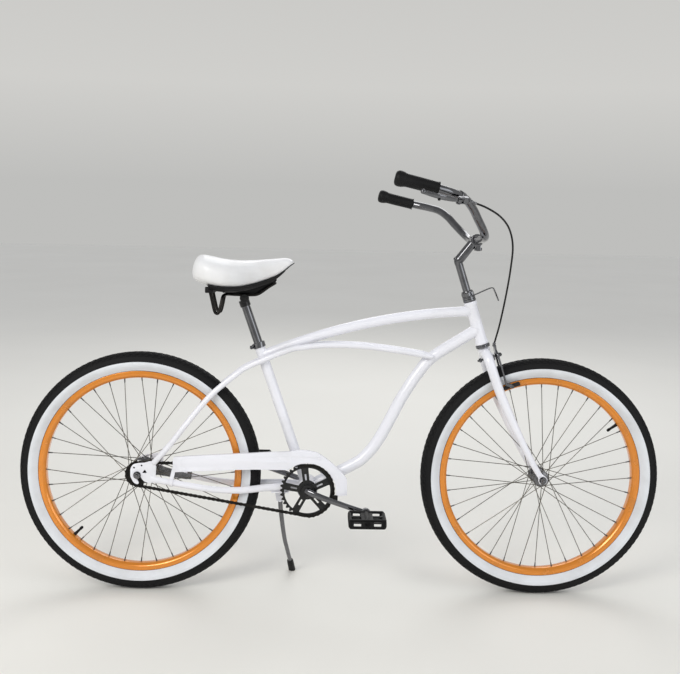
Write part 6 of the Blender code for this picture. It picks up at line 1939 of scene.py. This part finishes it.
# %% [markdown]
# The saddle's padding is foam under stretched vinyl: full and rounded, drawn in at the skirt. Its form is
# given by a few stations from tail to nose, each with a top, an underside and a half width, and smoothed
# between them. Cross sections are blends of ellipse and box. A soft dent follows the spine at the back, and
# the pull of the cover shows as shallow ripples near the edge. A thin black moulding closes the lower rim.


# %% Saddle cover and base
def saddle_stations(parts=5):
    """Each row is a place along the saddle, its top, its underside and its half width."""
    rows = [
        (-0.14, 0.066, 0.054, 0.05),
        (-0.136, 0.086, 0.042, 0.078),
        (-0.126, 0.103, 0.035, 0.1),
        (-0.113, 0.108, 0.029, 0.112),
        (-0.095, 0.1055, 0.024, 0.12),
        (-0.07, 0.1005, 0.0195, SADDLE_HALF_WIDTH),
        (-0.045, 0.0965, 0.0182, 0.118),
        (-0.015, 0.0945, 0.0198, 0.101),
        (0.012, 0.095, 0.0255, 0.08),
        (0.038, 0.0965, 0.0332, 0.061),
        (0.065, 0.099, 0.043, 0.047),
        (0.088, 0.101, 0.0532, 0.038),
        (0.108, 0.103, 0.0668, 0.032),
        (0.122, 0.1015, 0.0792, 0.027),
        (0.131, 0.097, 0.086, 0.02),
        (0.1345, 0.092, 0.0885, 0.011),
    ]
    places = smooth([(x, top, under) for x, top, under, _ in rows], parts)
    widths = between([wide for *_, wide in rows], parts)
    return [(place.x, place.y, place.z, wide) for place, wide in zip(places, widths)]


def loft(rings):
    around = len(rings[0])
    verts = [point for ring in rings for point in ring]
    faces = [tuple(range(around)), tuple(range((len(rings) - 1) * around, len(rings) * around))]
    for i in range(len(rings) - 1):
        for k in range(around):
            a, b = i * around + k, i * around + (k + 1) % around
            faces.append((a, b, b + around, a + around))
    return closed_mesh(verts, faces)


WAIST = 0.42
SPINE_DEPTH, SPINE_WIDTH = 0.003, 0.01
SEAM_DEPTH, SEAM_PLACE, SEAM_WIDTH = 0.0009, 0.8, 0.055


def cover_section(station, around=72):
    """One ring of the cover: fuller than an ellipse above the waist, boxier below it."""
    x, top, under, wide = station
    waist = under + (top - under) * WAIST
    tail = max(0.0, min(1.0, (-0.03 - x) / 0.05))
    points = []
    for k in range(around):
        turn = 2 * math.pi * k / around
        c, s = math.cos(turn), math.sin(turn)
        across = math.copysign(abs(c) ** (0.78 if s >= 0 else 0.42), c)
        if s >= 0:
            height = waist + (top - waist) * s**0.82
            groove = math.exp(-((across * wide / SPINE_WIDTH) ** 2)) * SPINE_DEPTH * tail
            edge = math.exp(-(((abs(across) - SEAM_PLACE) / SEAM_WIDTH) ** 2)) * SEAM_DEPTH
            height -= (groove + edge) * s
        else:
            height = waist - (waist - under) * min(1.0, abs(s) ** 0.5 * 1.06)
            across *= 1.0 - 0.04 * abs(s)
        ripple = 1 + 0.006 * math.sin(x * 330 + 2 * math.copysign(1, c)) * max(0.0, -s) * abs(c)
        points.append(rail_level() + Vector((x, across * wide * ripple, height)))
    return points


def saddle_cover():
    return turned(loft([cover_section(station) for station in saddle_stations()]))


def edge_path(inset, drop):
    """The saddle's lower edge round the base, drawn in by a share of its half width."""
    left = [(x, wide * inset, under + drop) for x, _, under, wide in saddle_stations(3)[12:]]
    left = moved(rail_level(), left)
    return left + other_side(left)


def saddle_base():
    half = [(0.865, -0.0002), (0.86, -0.0032), (0.815, -0.0064), (0.785, -0.01), (0.735, -0.0112)]
    half += [(0.3, -0.0112), (0.1, -0.0116)]
    section = half + [(-out, height) for out, height in half[::-1]]
    level = rail_level()
    rings = []
    for x, _, under, wide in saddle_stations()[20:-14]:
        deep = min(1.0, (0.127 - x) / 0.055)
        rings.append([level + Vector((x, out * wide, under + height * deep)) for out, height in section])
    shapes = [loft(rings)]
    for y in (-0.083, 0.083):
        x = level.x - 0.0925
        block = rounded(box(x - 0.011, level.z + 0.004, x + 0.011, level.z + 0.0205), 0.003)
        shapes.append(plate(block, y - 0.01, y + 0.01, edge=0.0012))
    # The black keel under the saddle's middle is partly a real moulding and partly painted shade: it fills
    # the dark space between the base and the rails.
    keel_and_shade_fill = [(-0.06, 0.0042), (0.02, 0.004), (0.04, 0.006), (0.062, 0.018), (0.076, 0.0262)]
    keel_and_shade_fill += [(0.088, 0.04), (0.088, 0.048), (0.065, 0.0385), (0.038, 0.029), (0.012, 0.0213)]
    keel_and_shade_fill.append((-0.06, 0.013))
    shapes.append(plate(rounded(placed(level, keel_and_shade_fill), 0.002), -0.0162, 0.0162, edge=0.0012))
    return turned(together(*shapes))


def saddle_rim():
    return turned(sweep(edge_path(0.885, 0.0006), 0.0016, 0.0022, 10, across=(0, 0, 1), loop=True))


cover = show("saddle_vinyl_cover", saddle_cover(), "seat", VINYL, ["saddle_cover"], 60)
show("saddle_shell", saddle_base(), "seat", PLASTIC, ["saddle_base"])
show("saddle_edge", saddle_rim(), "seat", PLASTIC)
print("saddle width:", 2 * SADDLE_HALF_WIDTH)

# %% [markdown]
# The setting is a plain pale room: a wide floor, a large soft lamp on the drive side towards the rear wheel,
# a weaker one towards the front wheel, a third on the far side, and a sky that is darker overhead, so that
# chrome has something to reflect. The world looks pale to the camera and in mirrors, and is dimmer as a
# light, so the shadows keep depth.


# %% Floor, world and lamps
def floor_material():
    pale = Finish("pale_floor")
    patches = pale.mask(pale.noise(0.8, 3.0), 0.3, 0.7)
    pale.feed("Base Color", pale.mix(patches, (0.8, 0.785, 0.73), (0.77, 0.755, 0.7)))
    pale.feed("Roughness", 0.62 + 0.1 * pale.noise(6.0))
    return pale.material


FLOOR_REACH = 14.0


def make_floor():
    mesh = bpy.data.meshes.new("floor")
    corners = [(x, z, 0) for x, z in box(-FLOOR_REACH, -FLOOR_REACH, FLOOR_REACH, FLOOR_REACH)]
    mesh.from_pydata(corners, [], [(0, 1, 2, 3)])
    mesh.materials.append(floor_material())
    floor = bpy.data.objects.new("floor", mesh)
    bpy.context.scene.collection.objects.link(floor)
    return floor


def make_world():
    world = bpy.data.worlds.new("room")
    world.use_nodes = True
    bpy.context.scene.world = world
    nodes, links = world.node_tree.nodes, world.node_tree.links
    split = nodes.new("ShaderNodeSeparateXYZ")
    ramp = nodes.new("ShaderNodeValToRGB")
    stops = ((0.0, (0.52, 0.52, 0.508)), (0.1, (0.63, 0.625, 0.605)), (0.9, (0.36, 0.36, 0.36)))
    ramp.color_ramp.elements.new(0.5)
    for element, (position, colour) in zip(ramp.color_ramp.elements, stops):
        element.position = position
        element.color = (*colour, 1.0)
    path = nodes.new("ShaderNodeLightPath")
    seen, both = (nodes.new("ShaderNodeMath") for _ in range(2))
    seen.operation = both.operation = "ADD"
    both.use_clamp = True
    pale, dim = nodes["Background"], nodes.new("ShaderNodeBackground")
    blend = nodes.new("ShaderNodeMixShader")
    pale.inputs["Strength"].default_value = 1.0
    dim.inputs["Color"].default_value = (0.93, 0.95, 1.0, 1.0)
    dim.inputs["Strength"].default_value = 0.7
    for start, end in (
        (nodes.new("ShaderNodeTexCoord").outputs["Generated"], split.inputs[0]),
        (split.outputs["Z"], ramp.inputs["Fac"]),
        (path.outputs["Is Camera Ray"], seen.inputs[0]),
        (path.outputs["Is Glossy Ray"], seen.inputs[1]),
        (seen.outputs[0], both.inputs[0]),
        (path.outputs["Is Transmission Ray"], both.inputs[1]),
        (ramp.outputs["Color"], pale.inputs["Color"]),
        (both.outputs[0], blend.inputs[0]),
        (dim.outputs[0], blend.inputs[1]),
        (pale.outputs[0], blend.inputs[2]),
        (blend.outputs[0], nodes["World Output"].inputs["Surface"]),
    ):
        links.new(start, end)


def lamp(name, place, target, size, power, colour):
    data = bpy.data.lights.new(name, "AREA")
    data.size = size
    data.energy = power
    data.color = colour
    light = bpy.data.objects.new(name, data)
    light.location = place
    aim = Vector(target) - Vector(place)
    light.rotation_euler = aim.to_track_quat("-Z", "Y").to_euler()
    bpy.context.scene.collection.objects.link(light)
    return light


floor = make_floor()
make_world()
lamps = [
    lamp("key", (-2.2, -3.0, 2.9), (0.0, 0.0, 0.4), 1.8, 80.0, (1.0, 0.98, 0.94)),
    lamp("fill", (2.8, -2.4, 1.8), (0.1, 0.0, 0.5), 2.2, 26.0, (0.94, 0.97, 1.0)),
    lamp("back", (0.4, 3.2, 3.0), (0.0, 0.0, 0.5), 2.4, 40.0, (1.0, 1.0, 1.0)),
]
bpy.context.scene.view_settings.view_transform = "Standard"
print("lamps:", [light.name for light in lamps])

# %% [markdown]
# Last, the number of pieces shown is printed.

# %% Finish
print("pieces shown:", len(shown))
